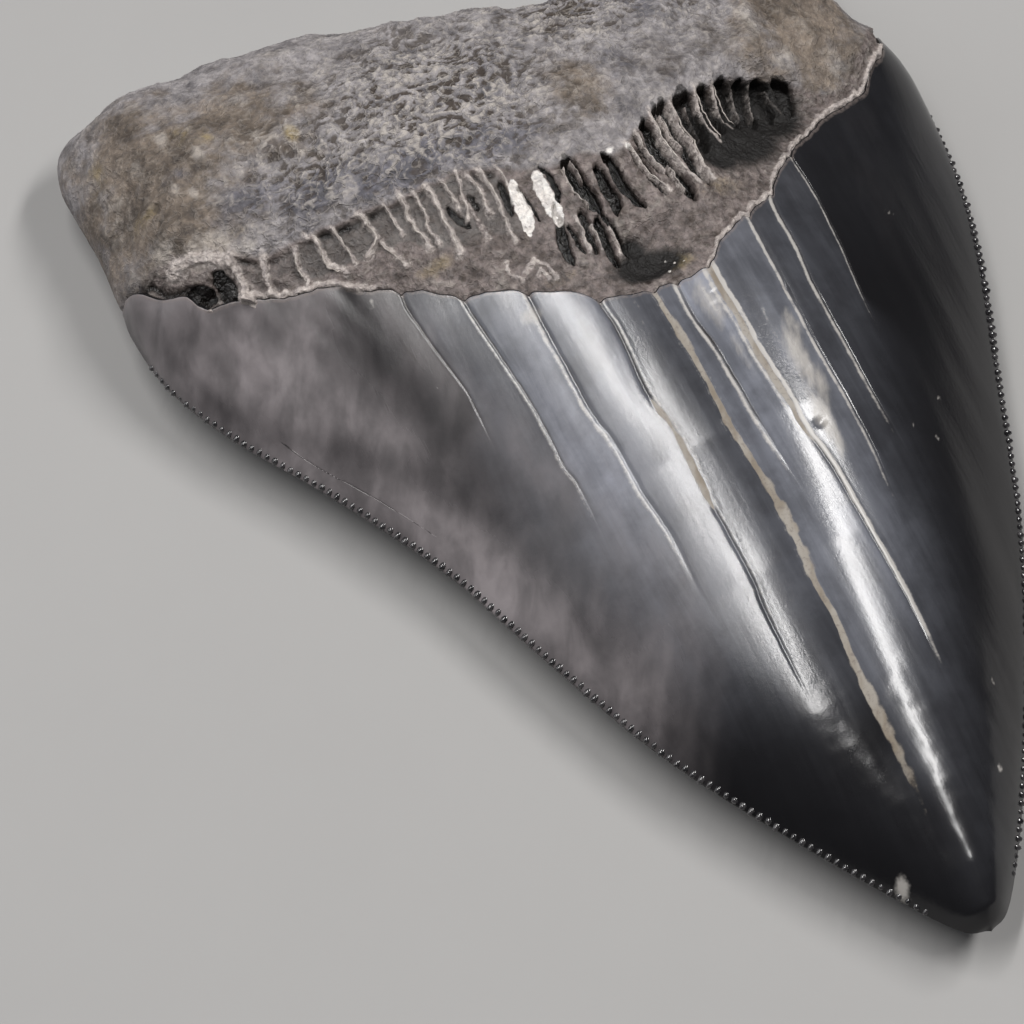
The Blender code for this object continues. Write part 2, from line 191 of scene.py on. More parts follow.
CRACKS = (
    Crack(((-19.1, -17), (-18.5, -20.4), (-18.1, -22.4), (-17.6, -24.6), (-17.2, -27.1), (-17, -31.2)),
          ((-20, 0.24), (-38, 0.24), (-48, 0.10), (-60, 0.04)),
          ((-17, 0.75), (-31, 0.6)), (0.12, 0.22), (0.1, 0.3), 0.09, 0.10),
    Crack(((-14.4, -19.2), (-14, -22), (-13.5, -25.3), (-13, -28.7), (-12.6, -32.1), (-12.4, -37.2),
           (-12, -39.7), (-11.9, -45)),
          ((-20, 0.42), (-30, 0.56), (-40, 0.80), (-50, 0.42), (-62, 0.14), (-68, 0)),
          ((-19, 0.8), (-36, 0.6), (-45, 0.3)), (0.65, 0.15), (0.4, 0), 0.12, 0.17),
    Crack(((-9.1, -21.8), (-9, -24.8), (-8.8, -28.8), (-8.5, -34.5), (-7.9, -37.7), (-7.6, -43.3),
           (-7, -48.3), (-6.9, -54.3)),
          ((-22, 0.50), (-32, 0.44), (-42, 0.42), (-52, 0.36), (-62, 0.24), (-70, 0.04)),
          ((-21, 0.6), (-32, 0.45), (-38, 0.1)), (0.8, 0.1), (0.6, 0), 0.19, 0.18),
    Crack(((-3.7, -25.3), (-3.4, -29.3), (-3.6, -35.1), (-2.9, -39.9), (-2.9, -47), (-2.6, -54.8),
           (-2.8, -58.1), (-2.7, -64), (-2.6, -67.3)),
          ((-26, 0.28), (-36, 0.18), (-46, 0.22), (-56, 0.24), (-66, 0.14), (-72, 0.02)),
          ((-25, 0.7), (-36, 0.5), (-40, 0.1), (-50, 0.1), (-67, 0.1)), (0.2, 0.6), (0.25, 0.35),
          0.14, 0.17,
          ((-35.5, 0), (-37.5, 0.30), (-39.5, 0.12), (-42, 0.30), (-46, 0.32), (-48.5, 0))),
    Crack(((1.2, -26.3), (1.5, -30.6), (1.7, -33.4), (1.8, -37.3), (1.7, -41.6), (2.1, -45.8), (2.4, -49.9),
           (2.4, -53.8), (2.2, -58.8), (2.4, -61.3), (2.1, -66.3), (2.2, -73.2), (2.3, -78), (2.1, -82.6)),
          ((-27, 0.42), (-34, 0.44), (-44, 0.46), (-56, 0.42), (-66, 0.34), (-74, 0.20),
           (-80, 0)),
          ((-26, 0.1), (-31, 0.4), (-38, 0.3), (-44, 0)), (0.35, 0.30), (0.12, 0.10), 0.12, 0.14,
          ((-27, 0.20), (-32, 0.34), (-37, 0.22), (-41, 0.34), (-45, 0.30), (-50, 0.40), (-56, 0.34),
           (-62, 0.28), (-70, 0.42), (-76, 0.34), (-83, 0.10))),
    Crack(((3.6, -26.6), (3.5, -30.2), (3.7, -32), (4, -33.8), (4.2, -38.2), (4.3, -41), (4.7, -45.9),
           (5, -48.8)),
          ((-26, 0.85), (-34, 0.72), (-40, 0.60), (-50, 0.56), (-60, 0.42), (-72, 0.12)),
          ((-26, 0.3), (-33, 0.85), (-40, 0.8), (-45, 0.2)), (0.95, 0), (0.8, 0), 0.13, 0.19),
    Crack(((7.1, -26.2), (7.1, -29.1), (7.3, -31.4), (7.3, -34), (7.4, -36.6), (7.6, -38.9), (7.8, -41.5),
           (7.8, -44), (8.6, -48.1), (8.9, -53.1), (9.2, -58), (9.5, -62.9), (9.4, -71)),
          ((-22, 0.40), (-34, 0.44), (-44, 0.40), (-56, 0.36), (-70, 0.10)),
          ((-27, 0), (-43, 0.1), (-47, 0.45), (-71, 0.35)), (0.85, 1.2), (0, 1.2), 0.12, 0.24,
          ((-26, 0.28), (-40, 0.30), (-44, 0.20), (-47, 0))),
    Crack(((13.6, -21.6), (13.5, -28.1), (13.4, -32.8), (13.3, -37.2), (13.5, -42.5), (13.6, -46.9),
           (13.3, -52), (13.5, -54.5)),
          ((-20, 0.20), (-40, 0.18), (-50, 0.12), (-60, 0)),
          ((-21, 0.35), (-53, 0.15)), (0.9, 0.1), (0.7, 0), 0.09, 0.19),
    Crack(((17.3, -19.2), (16.8, -21.3), (16.8, -25.4), (16.6, -27.9), (16.3, -30.5), (16.4, -36.6),
           (16.5, -42.5), (17, -48.7)),
          ((-16, 0.16), (-30, 0.13), (-40, 0.08), (-50, 0)),
          ((-19, 0.4), (-48, 0.2)), (1.1, 0.1), (0.6, 0), 0.09, 0.21),
    Crack(((21.5, -15.8), (21.8, -18.8), (21.9, -21.2), (21.6, -26.1), (21.1, -30.7), (20.7, -36.3)),
          ((-12, 0.03), (-30, 0)),
          ((-16, 0.4), (-36, 0.2)), (0.8, 0), (0.5, 0), 0.08, 0.13),
)

# Short fine lines of the enamel, and the small bright chips and the pit on it.
MARKS = (
    Mark(((-6.2, -24.5), (-6, -26.2), (-5.8, -28), (-5.6, -29.7), (-5.3, -33.5)), 0.14, -0.45),
    Mark(((-0.8, -26.4), (-0.9, -30)), 0.16, 0.6),
    Mark(((9.8, -30.9), (10, -33.2), (10, -35.4), (10.2, -37.4), (10.1, -39.5), (10.4, -41.4)), 0.16, 0.8),
    Mark(((4.7, -27.4), (4.8, -29.4), (5, -31.4)), 0.12, 0.6),
    Mark(((5.5, -27), (5.6, -29.6), (5.9, -32)), 0.12, 0.5),
    Mark(((5.1, -27.2), (5.2, -29.6), (5.4, -32.4)), 0.12, -0.6),
    Mark(((27.5, -22.1), (29, -22.5), (30.4, -22.6)), 0.16, 0.5),
    Mark(((-20.6, -19.5), (-20.1, -22)), 0.12, -0.4),
    Mark(((-20, -22.8), (-19.2, -25.4)), 0.12, 0.3),
    Mark(((12, -27), (12, -29)), 0.14, 0.3),
    Mark(((-21.6, -14.4), (-21.9, -15.6)), 0.20, 0.6),
)
CHIPS = spots((23.8, -42.9, 0.24, 0.24, 0.8), (21.2, -47, 0.24, 0.24, 0.8),
              (19, -45.7, 0.22, 0.22, 0.7), (-1.4, -83.7, 0.5, 0.9, 1),
              (11.2, -77.8, 0.35, 0.35, 0.8), (14.6, -70.2, 0.22, 0.4, 0.6))
PITS = spots((9.7, -44.2, 0.42, 0.30, 1), (6.2, -30, 0.3, 0.2, 0.7), (5.9, -31.2, 0.2, 0.25, 0.7),
             (6.6, -28.8, 0.25, 0.2, 0.6), (13.2, -30.4, 0.2, 0.35, 0.8), (10.9, -39, 0.3, 0.3, 0.5))
# Pale patches of haze, partly painted highlight where the right strip's reflection begins.
CREAM_AND_HIGHLIGHT = spots((11, -38, 1.3, 5.2, 0.75), (10.2, -44, 1, 4, 0.85), (5.6, -29.8, 1.4, 3, 0.75),
              (-9.6, -23.6, 1.3, 1, 0.6), (6, -35, 0.8, 3, 0.5), (12, -34, 0.8, 2, 0.5))

# Lines of the left flank's tone, part stain and part painted sheen: its pale middle, a dark streak and a dark
# band, pale patches low down and along the edge, and pairs of a place along Y and the place across where it
# ends.
FLANK_SHEEN_MIDDLE = ((-38, -4), (-33, -13), (-27, -24), (-21, -36), (-14.5, -49), (-8, -61), (-2.5, -71))
FLANK_STREAK = ((-37.5, -13.3), (-33.1, -19.4), (-28.1, -24.7), (-22.8, -30.8), (-18.9, -37.7),
                 (-16.1, -44.7))
FLANK_SHADE = ((-23.3, -13.6), (-23, -18.6), (-21.1, -24.6), (-18.9, -31), (-16.8, -37.4), (-14.1, -44.4),
                (-11.4, -51.3))
FLANK_LOWER = ((-17.1, -46.9), (-15.8, -52.7), (-14.5, -58.3), (-12.6, -62.5))
FLANK_EDGE = ((-22, -43), (-16, -55), (-10.5, -65), (-5.5, -73))
FLANK_END = ((-13.6, -21.5), (-24.6, -19.5), (-37.4, -15), (-51.3, -9.5), (-60, -6), (-72, -1))

# Walls of the band: over its grey cells at the left, between its black slits, and over the hollow.
RIBS = (
    Rib(((-31.9, -4.8), (-31.6, -6.7), (-31.6, -8.2), (-31.1, -9.4)), Girth.BROAD, 0.4, 1.2),
    Rib(((-28.9, -5.9), (-29.3, -7.6), (-29.4, -9.8)), Girth.BROAD, 0.25, 0.8),
    Rib(((-26.2, -7), (-26.3, -8.8), (-26.2, -10.2)), Girth.FULL, 0.2, 0.7),
    Rib(((-25, -6.4), (-24.1, -7.1), (-24, -8.4), (-23.9, -9.9), (-22.8, -11.2)), Girth.FULL, 0.25, 0.9),
    Rib(((-22.3, -7.2), (-22, -9.3), (-21.7, -10.9)), Girth.THIN, 0.2, 0.8),
    Rib(((-19.7, -7), (-19.2, -9), (-19.2, -10.1), (-20.5, -11.1)), Girth.FULL, 0.25, 1),
    Rib(((-18.9, -10.6), (-18.2, -12.2), (-17.6, -13.8)), Girth.FULL, 0.15, 0.6),
    Rib(((-17.4, -7), (-17.1, -9), (-17, -11)), Girth.THIN, 0.15, 0.7),
    Rib(((-15.7, -6.8), (-15.7, -8.6), (-15.8, -9.8), (-15.7, -11), (-15.4, -12.2), (-15.2, -13.5)),
        Girth.FULL, 0.2, 0.9),
    Rib(((-14.5, -7.2), (-14.4, -8.8), (-14.4, -10.1), (-14.6, -11.4), (-14.5, -12.4), (-14.3, -13.5)),
        Girth.THIN, 0.15, 0.8),
    Rib(((-13.1, -7.6), (-13, -9.2), (-13, -10.5), (-13.1, -11.7), (-12.9, -13), (-13, -14.2),
         (-12.9, -15.3)), Girth.FULL, 0.2, 0.9),
    Rib(((-11.8, -7.7), (-11.5, -9.3), (-11.4, -10.5), (-11.4, -11.4)), Girth.THIN, 0.15, 0.8),
    Rib(((-10.2, -7.6), (-10.3, -9), (-10.6, -10.3), (-10.8, -11.8), (-11.2, -12.8)), Girth.HAIR, 0.15, 1),
    Rib(((-10.7, -10.4), (-10.5, -11.9), (-10.4, -13.4), (-10.1, -15.2)), Girth.BROAD, 0.05, 0.5),
    Rib(((-9.5, -8.6), (-8.9, -10), (-9, -11.2), (-9.1, -13)), Girth.FULL, 0.15, 0.8),
    Rib(((-8.3, -8.4), (-7.9, -10.6), (-7.9, -12.3), (-8, -13.7), (-8.1, -15.5), (-8, -16.6)),
        Girth.THIN, 0.2, 1),
    Rib(((-6.6, -8.9), (-6.4, -10.4), (-6.2, -11.5)), Girth.THIN, 0.12, 0.8),
    Rib(((-1.1, -12), (-1.2, -13.4), (-0.9, -15.1), (-0.4, -16.1)), Girth.HAIR, 0.12, 1),
    Rib(((-0.2, -11.6), (-0.1, -12.8), (0.1, -13.8)), Girth.HAIR, 0.3, 0.5),
    Rib(((-2, -17), (-2.1, -18.7), (-2.1, -20.3)), Girth.THIN, 0.15, 0.9),
    Rib(((-1, -18.1), (-1, -19.3), (-1, -20.6)), Girth.HAIR, 0.12, 0.8),
    Rib(((0.4, -19), (0.5, -20.3), (0.5, -21.5)), Girth.THIN, 0.12, 0.7),
    Rib(((5.6, -11.2), (6.1, -13.2), (6.4, -14.7), (7, -16.2), (7.6, -17.4)), Girth.THIN, 0.1, 0.8),
    Rib(((7.1, -10.2), (7.3, -12), (7.5, -13.9), (8, -15.2)), Girth.THIN, 0.1, 0.8),
    Rib(((9.7, -8.2), (9.5, -9.7), (9.4, -11.5), (9.6, -13.2), (9.9, -14.6), (10.3, -15.8), (10.8, -17.1)),
        Girth.THIN, 0.12, 1.1),
    Rib(((8.5, -14.9), (8.7, -16.2), (9, -18)), Girth.HAIR, 0.1, 0.8),
    Rib(((10.4, -9.2), (10.5, -11.6), (10.9, -13.5)), Girth.HAIR, 0.05, 0.8),
    Rib(((12.1, -8.2), (12.1, -10.3), (12.4, -12), (12.3, -13.4), (12.2, -15.1), (12.5, -17)),
        Girth.THIN, 0.12, 1.1),
    Rib(((13.9, -8.4), (14, -10.4), (13.8, -12.4)), Girth.HAIR, -0.3, 0.4),
    Rib(((15.4, -6.6), (15.4, -8.8), (15.4, -10.9), (15.7, -12.7)), Girth.THIN, 0.05, 0.9),
    Rib(((17.5, -6.4), (17.6, -8.5), (17.9, -10.9)), Girth.THIN, 0, 0.75),
    Rib(((19.8, -7.2), (19.9, -9.4)), Girth.THIN, -0.1, 0.6),
    Rib(((21.6, -7.2), (21.2, -9.6)), Girth.THIN, -0.1, 0.6),
    Rib(((23.2, -7.9), (23.9, -9.9)), Girth.THIN, -0.1, 0.5),
)
RIMS = (
    Rib(((-31.7, -8.5), (-30.9, -9.6), (-29.6, -10.5), (-28.4, -10.7), (-27.3, -11.1), (-25.1, -11.9),
         (-23.4, -12.5), (-22.2, -13.4)), Girth.BROAD, 0.45, 1),
    Rib(((-36.1, -5.6), (-35.6, -6.7), (-34.8, -7.6), (-34, -8.4), (-33, -8.7)), Girth.FULL, 0.4, 1),
    Rib(((-36.4, -2.6), (-35, -2.7), (-33.5, -3.6), (-32.1, -4.9)), Girth.SLAB, 0.40, 1.15),
    Rib(((-9.6, -18), (-9.8, -19.2), (-9, -20.2)), Girth.HAIR, 0.15, 1),
    Rib(((-8.3, -19.6), (-7.3, -19), (-6.3, -19.9), (-6.2, -21.4)), Girth.THIN, 0.15, 1),
    Rib(((-7.6, -20.6), (-7, -20), (-6.8, -21.2)), Girth.HAIR, 0.12, 1),
)
CELLS = (
    Cell(((-7, -10.7), (-7.1, -12.3), (-7.3, -14.2)), 0.30, 0.6, Shade.BROWN),
    Cell(((-5.8, -11.8), (-5.4, -13.7), (-5.2, -15.8)), 0.14, 0.5),
    Cell(((-3.1, -10.9), (-2.6, -12), (-2.5, -13.2), (-2.8, -14.8)), 0.24, 0.6),
    Cell(((-3.4, -14.8), (-3.8, -16.4), (-3.7, -17.6)), 0.2, 0.6),
    Cell(((-0.5, -10.9), (-0.4, -12.7), (-0.3, -13.9), (-0.1, -15.1), (0.3, -17.1)), 0.74, 1.3),
    Cell(((2, -12.9), (2.1, -14.5), (2.1, -15.6), (2.1, -16.8), (1.7, -18)), 0.58, 1.2),
    Cell(((3.1, -11.9), (3.5, -13.4), (3.6, -14.7), (3.6, -16), (3.9, -16.9), (4.5, -18.2)), 0.50, 1.1),
    Cell(((-1.4, -16.5), (-1.4, -18), (-1.6, -19.2), (-1.7, -20.8)), 0.42, 0.9, Shade.BROWN),
    Cell(((-3.6, -16.6), (-4, -18), (-4.2, -19.3), (-4.2, -20.8)), 0.44, 0.8, Shade.BROWN),
    Cell(((-3.1, -17.4), (-2.9, -18.9), (-2.6, -20.4)), 0.2, 0.6, Shade.BROWN),
    Cell(((-0.2, -17.6), (-0.3, -19.1), (-0.4, -20.4), (-0.3, -22.6)), 0.42, 1),
    Cell(((0.2, -17), (0.7, -18.9), (1, -20.4), (1.2, -22)), 0.18, 0.7),
    Cell(((5.9, -11.8), (6.2, -13.4), (6.4, -14.7), (6.6, -16), (7.1, -17.6)), 0.40, 0.9),
    Cell(((7.1, -10.4), (7, -12.3), (7.3, -13.7), (7.7, -15.3)), 0.34, 0.9),
    Cell(((8.5, -9.5), (8.5, -11.5), (8.6, -13.1), (8.8, -14.5), (9.1, -16.2), (9.6, -18.6)), 0.80, 1.4),
    Cell(((10.4, -7.8), (10, -10.2), (10.1, -11.5), (10.4, -13.6)), 0.45, 1.2),
    Cell(((11.3, -7.7), (11.4, -9.6), (11.4, -11.1), (11.4, -12.6), (11.1, -14.2), (11.3, -15.5),
          (11.8, -17.4)),
         0.72, 1.4),
    Cell(((13.9, -6.9), (13.8, -9.1), (13.5, -10.9), (13.2, -13.4)), 1.30, 1.5),
    Cell(((16.3, -6.8), (16.4, -8.8), (16.5, -11.4)), 0.92, 1.4),
    Cell(((18.6, -6.3), (18.7, -7.9), (18.8, -10.4)), 0.88, 1.3),
    Cell(((20.7, -6.8), (20.6, -8.6), (20.5, -10.6)), 0.78, 1.3),
    Cell(((22.4, -6.9), (22.4, -8.4), (22.4, -10.4)), 0.84, 1.3),
    Cell(((24.3, -6.9), (24.9, -8.2), (24.8, -10.2)), 0.7, 1.1),
    Cell(((-12.3, -10.6), (-11.9, -12.2), (-11.3, -13.4)), 0.34, 0.5, Shade.BROWN),
    Cell(((-10.1, -10.4), (-9.9, -12.2)), 0.36, 0.5, Shade.BROWN),
    Cell(((-33.6, -5.3), (-33, -6.6), (-32.8, -8)), 0.75, 0.5, Shade.BROWN),
    Cell(((-36.6, -4.9), (-35.4, -6), (-34.4, -7)), 0.70, 0.5, Shade.BROWN),
    Cell(((-39.2, -5), (-37.8, -5.6)), 0.55, 0.4, Shade.BROWN),
)

# Chalky plates left standing in two cells, the second one broken up.
PLATES = (Cell(((-6, -11.2), (-6.2, -13.2), (-6.1, -14.7), (-6.6, -16.5)), 0.60),
          Cell(((-3.6, -11.3), (-3.7, -13.3), (-3.6, -14.8), (-3.5, -16.6)), 0.64, 1.1, Shade.BROWN))
FLECKS = spots((3.8, -11.8, 0.42, 0.36, 1), (5.65, -11.9, 0.28, 0.36, 0.9),
               (3.8, -25, 0.24, 0.16, 0.8), (4.7, -24.1, 0.16, 0.2, 0.8), (5.5, -24.5, 0.2, 0.12, 0.7),
               (4.1, -23.3, 0.12, 0.14, 0.7))

# Long low spurs of the root.
SPURS = (Rib(((25.8, 5), (24.5, -0.7), (23, -4), (21.8, -6)), Girth.SLAB, 0.6, 0.5),
         Rib(((29.4, 5), (28.4, -1), (27.6, -5)), Girth.SLAB, 0.25, 0.3))


def smooth_curve(points: tuple[Point, ...], steps: int = 24) -> Array:
    """Dense points of a smooth curve that passes through the given ones.

    Args:
        points: the points to pass through, in order.
        steps: points for each stretch.

    Returns:
        The curve's points, one row each.
    """
    given = np.array(points, float)
    padded = np.vstack([2 * given[0] - given[1], given, 2 * given[-1] - given[-2]])
    t = np.linspace(0.0, 1.0, steps, endpoint=False)[:, None]
    spans = []
    for before, start, end, after in zip(padded, padded[1:], padded[2:], padded[3:]):
        cubic = 3 * start - before - 3 * end + after
        square = 2 * before - 5 * start + 4 * end - after
        spans.append(start + 0.5 * ((end - before) * t + square * t**2 + cubic * t**3))
    return np.vstack(spans + [given[-1:]])


def along(curve: Array, shares: Array | float) -> Array:
    """Points at the given shares of a curve's length.

    Args:
        curve: the curve's points.
        shares: shares of its length, from 0 to 1.

    Returns:
        One point for each share.
    """
    steps = np.linalg.norm(np.diff(curve, axis=0), axis=1)
    walked = np.concatenate([[0.0], np.cumsum(steps)]) / steps.sum()
    return np.stack([np.interp(shares, walked, curve[:, axis]) for axis in (0, 1)], axis=-1)


def unit(value: Array) -> Array:
    """Value held between 0 and 1."""
    return np.clip(value, 0.0, 1.0)


def ramp(value: Array, low: float, high: float) -> Array:
    """Smooth step from 0 at low to 1 at high."""
    t = unit((value - low) / (high - low))
    return t * t * (3 - 2 * t)


def hump(distance: Array, reach: float | Array) -> Array:
    """Bell of height 1 at no distance."""
    return np.exp(-((distance / reach) ** 2))


def rounding(distance: Array, radius: float) -> Array:
    """0 at the outline and 1 past the radius, as a quarter of a circle."""
    return np.sqrt(1 - (1 - unit(distance / radius)) ** 2)


def on_line(line: Array, x: Array) -> Array:
    """Place along Y of a line's point at each place across."""
    return np.interp(x, line[:, 0], line[:, 1])


def profile(pairs: tuple[Point, ...], y: Array) -> Array:
    """Value at each place along Y, from pairs of a place and a value that run down the tooth."""
    places, values = np.array(pairs).T
    return np.interp(-y, -places, values)


def stack(x: Array, y: Array, z: Array | float = 0.0) -> Array:
    """Joins coordinates as one row for each point."""
    return np.stack([x, y, np.broadcast_to(z, np.shape(x))], axis=-1).reshape(-1, 3)


class Grain:
    """Smooth random field in space, the same on every run."""

    def __init__(self, seed: int) -> None:
        """Draws the field's slopes.

        Args:
            seed: number that fixes the field.
        """
        draw = np.random.default_rng(seed)
        self.order = draw.permutation(256)
        self.turn = np.linalg.qr(draw.normal(size=(3, 3)))[0]
        slopes = draw.normal(size=(256, 3))
        self.slopes = slopes / np.linalg.norm(slopes, axis=1, keepdims=True)

    def at(self, points: Array) -> Array:
        """Value of the field, about -1 to 1, with waves about one unit long.

        Args:
            points: places, one row each.

        Returns:
            One value for each place.
        """
        points = points @ self.turn
        cell = np.floor(points).astype(int)
        inside = points - cell
        fade = inside**3 * (inside * (inside * 6 - 15) + 10)
        total = np.zeros(len(points))
        for corner in itertools.product((0, 1), repeat=3):
            near = (cell + corner) & 255
            key = self.order[(self.order[(self.order[near[:, 0]] + near[:, 1]) & 255] + near[:, 2]) & 255]
            weight = np.prod(np.where(corner, fade, 1 - fade), axis=1)
            total += weight * np.einsum("ij,ij->i", self.slopes[key], inside - corner)
        return total * 1.6

    def over(self, x: Array, y: Array, size: float, seed: float, stretch: float = 1.0) -> Array:
        """Field over the plan, in the shape of x.

        Args:
            x, y: places across and along.
            size: length of its waves across.
            seed: height at which the field is cut.
            stretch: how much longer the waves are along Y.

        Returns:
            One value for each place.
        """
        return self.at(stack(x / size, y / (size * stretch), seed)).reshape(np.shape(x))

    def layers(self, points: Array, count: int, gain: float) -> Array:
        """Sum of the field at finer and finer scales.

        Args:
            points: places, one row each.
            count: number of scales.
            gain: strength of each scale beside the one before.

        Returns:
            One value for each place.
        """
        total = np.zeros(len(points))
        for layer in range(count):
            total += gain**layer * self.at(points * 2.03**layer + 17.7 * layer)
        return total

    def worms(self, points: Array, count: int = 2) -> Array:
        """Winding crests.

        Args:
            points: places, one row each.
            count: number of scales.

        Returns:
            1 on a crest and about 0 between crests.
        """
        bent = points + 0.55 * np.stack([self.at(points * 0.5 + shift) for shift in (3.1, 9.2, 14.8)], axis=1)
        total = np.zeros(len(points))
        for layer in range(count):
            wave = np.abs(self.at(bent * 1.9**layer + 5.3 * layer))
            total += 0.5**layer * (1 - np.minimum(wave * 2.6, 1.0))
        return total / sum(0.5**layer for layer in range(count))


BROAD_GRAIN = Grain(21)
FINE_GRAIN = Grain(57)
WORM_GRAIN = Grain(84)


def from_path(path: tuple[Point, ...], x: Array, y: Array) -> tuple[Array, Array]:
    """Distance from a path, and the share of it that has been walked at the nearest place.

    Args:
        path: the path's points.
        x, y: places across and along.

    Returns:
        Distances and shares, in the shape of x.
    """
    lengths = [math.dist(a, b) for a, b in zip(path, path[1:])]
    total = sum(lengths)
    nearest = np.full(np.shape(x), np.inf)
    share = np.zeros(np.shape(x))
    walked = 0.0
    for (ax, ay), (bx, by), length in zip(path, path[1:], lengths):
        t = unit(((x - ax) * (bx - ax) + (y - ay) * (by - ay)) / length**2)
        distance = np.hypot(x - ax - t * (bx - ax), y - ay - t * (by - ay))
        closer = distance < nearest
        nearest = np.where(closer, distance, nearest)
        share = np.where(closer, (walked + t * length) / total, share)
        walked += length
    return nearest, share


def patches(soft: tuple[Spot, ...], x: Array, y: Array) -> Array:
    """Strongest of several soft patches at each place.

    Args:
        soft: the patches.
        x, y: places across and along.

    Returns:
        Strength of the patches, in the shape of x.
    """
    total = np.zeros(np.shape(x))
    for spot in soft:
        far = ((x - spot.at[0]) / spot.reach[0]) ** 2 + ((y - spot.at[1]) / spot.reach[1]) ** 2
        total = np.maximum(total, spot.strength * np.exp(-far))
    return total


class ToothForm:
    """Outline and heights of the bare tooth, which every shell starts from."""

    def __init__(self) -> None:
        """Draws the tooth's lines as smooth curves and joins the crown's and the root's sides."""
        self.left_crown, self.right_crown = smooth_curve(LEFT_CROWN_EDGE), smooth_curve(RIGHT_CROWN_EDGE)
        self.left_root, self.right_root = smooth_curve(LEFT_ROOT_SIDE), smooth_curve(RIGHT_ROOT_SIDE)
        self.top, self.outer_line = smooth_curve(ROOT_TOP), smooth_curve(OUTER_ENAMEL_LINE)
        self.enamel_line, self.rib_tops, self.rib_feet = (
            smooth_curve(line, 10) for line in (ENAMEL_EDGE, RIB_TOPS, RIB_FEET))
        self.left = np.vstack([self.left_crown, self.left_root[1:]])
        self.right = np.vstack([self.right_crown, self.right_root[1:]])

    def across(self, x: Array, y: Array) -> tuple[Array, Array]:
        """Place across the tooth and its width.

        Args:
            x, y: places across and along.

        Returns:
            Places from -1 at the left side to 1 at the right one, and half the width there.
        """
        left, right = (np.interp(y, side[:, 1], side[:, 0]) for side in (self.left, self.right))
        half = np.maximum((right - left) / 2, TINY)
        return np.clip((x - (left + right) / 2) / half, -1.0, 1.0), half

    def root_share(self, y: Array) -> Array:
        """0 on the crown, 1 on the root, with a soft change about the shoulders."""
        return 1 / (1 + np.exp(-(y + 6.0) / 3.5))

    def root_end(self, x: Array, y: Array, radius: float) -> Array:
        """Rounding round the end of the root."""
        return rounding(on_line(self.top, x) - y, radius)

    def inner_height(self, x: Array, y: Array) -> Array:
        """Height of the bulging inner face.

        Args:
            x, y: places across and along.

        Returns:
            Heights above the plane of the cutting edges.
        """
        place, half = self.across(x, y)
        inside = (1 - np.abs(place)) * half
        root = self.root_share(y)
        ridge = np.interp(y, *np.array(RIDGE).T)
        bevel = MARGIN_BEVEL * (1 - np.exp(-inside / (MARGIN_WIDTH * 0.5)))
        crown_form = ridge * (1 - place**2) ** 1.12 + bevel
        root_form = ridge * (1 - 0.38 * np.abs(place) ** 2.2) * rounding(inside, INNER_ROUNDING)
        height = (crown_form * (1 - root) + root_form * root) * self.root_end(x, y, INNER_ROUNDING)
        for (at_x, at_y), (reach_x, reach_y), depth in DENTS:
            height = height - depth * np.exp(-(((x - at_x) / reach_x) ** 2) - ((y - at_y) / reach_y) ** 2)
        return np.where(np.abs(place) < 1, np.maximum(height, 0.0), 0.0)

    def outer_height(self, x: Array, y: Array) -> Array:
        """Height of the flatter outer face, which the tooth rests on.

        Args:
            x, y: places across and along.

        Returns:
            Heights below the plane of the cutting edges, as numbers below 0.
        """
        place, half = self.across(x, y)
        root = self.root_share(y)
        keel = np.interp(y, *np.array(KEEL).T)
        crown_form = (1 - np.abs(place) ** 2.4) ** 0.95
        root_form = (1 - 0.3 * place**2) * rounding((1 - np.abs(place)) * half, OUTER_ROUNDING)
        depth = keel * (crown_form * (1 - root) + root_form * root) * self.root_end(x, y, OUTER_ROUNDING)
        return -np.minimum(depth, REST_DEPTH)

    def enamel_y(self, x: Array) -> Array:
        """Ragged edge of the enamel on the inner face, with a small bay at the head of each crack.

        Args:
            x: places across.

        Returns:
            Places along.
        """
        y = on_line(self.enamel_line, x)
        inland = ramp(HALF_SHOULDERS - np.abs(x), 0.5, 4.0)
        y = y + inland * (0.34 * BROAD_GRAIN.over(x, x * 0, 2.3, 4.2)
                          + 0.16 * FINE_GRAIN.over(x, x * 0, 0.7, 1.6))
        for crack in CRACKS:
            y = y - 0.4 * hump(x - crack.path[0][0], 0.35)
        return y

    def tops_y(self, x: Array) -> Array:
        """Upper end of the band."""
        return on_line(self.rib_tops, x) + 0.3 * BROAD_GRAIN.over(x, x * 0, 1.7, 8.4)

    def feet_y(self, x: Array) -> Array:
        """Lower end of the band's ribs."""
        return on_line(self.rib_feet, x) + 0.35 * BROAD_GRAIN.over(x, x * 0, 1.3, 2.9)

    def calm_border(self, x: Array, y: Array) -> Array:
        """Share of the relief that is left near the sides and the end of the root.

        Args:
            x, y: places across and along.

        Returns:
            1 inland, less at the border.
        """
        place, half = self.across(x, y)
        border = np.minimum((1 - np.abs(place)) * half, on_line(self.top, x) - y)
        return 0.25 + 0.75 * ramp(border, 0.0, 1.2)


FORM = ToothForm()


def new_object(name: str, points: Array, edges: list, faces: list,
               attributes: dict[str, Array]) -> bpy.types.Object:
    """Makes a mesh object at the origin from places in the tooth's plan.

    Args:
        name: name of the object and of its mesh.
        points: places in millimetres.
        edges: pairs of point numbers.
        faces: point numbers of each face.
        attributes: numbers kept on the points, by name.

    Returns:
        The object, linked to the scene.
    """
    mesh = bpy.data.meshes.new(name)
    mesh.from_pydata(((points - MIDDLE) * MILLIMETRE).tolist(), edges, faces)
    for label, values in attributes.items():
        layer = mesh.attributes.new(label, "FLOAT", "POINT")
        layer.data.foreach_set("value", values.astype(np.float32))
    made = bpy.data.objects.new(name, mesh)
    bpy.context.scene.collection.objects.link(made)
    return made


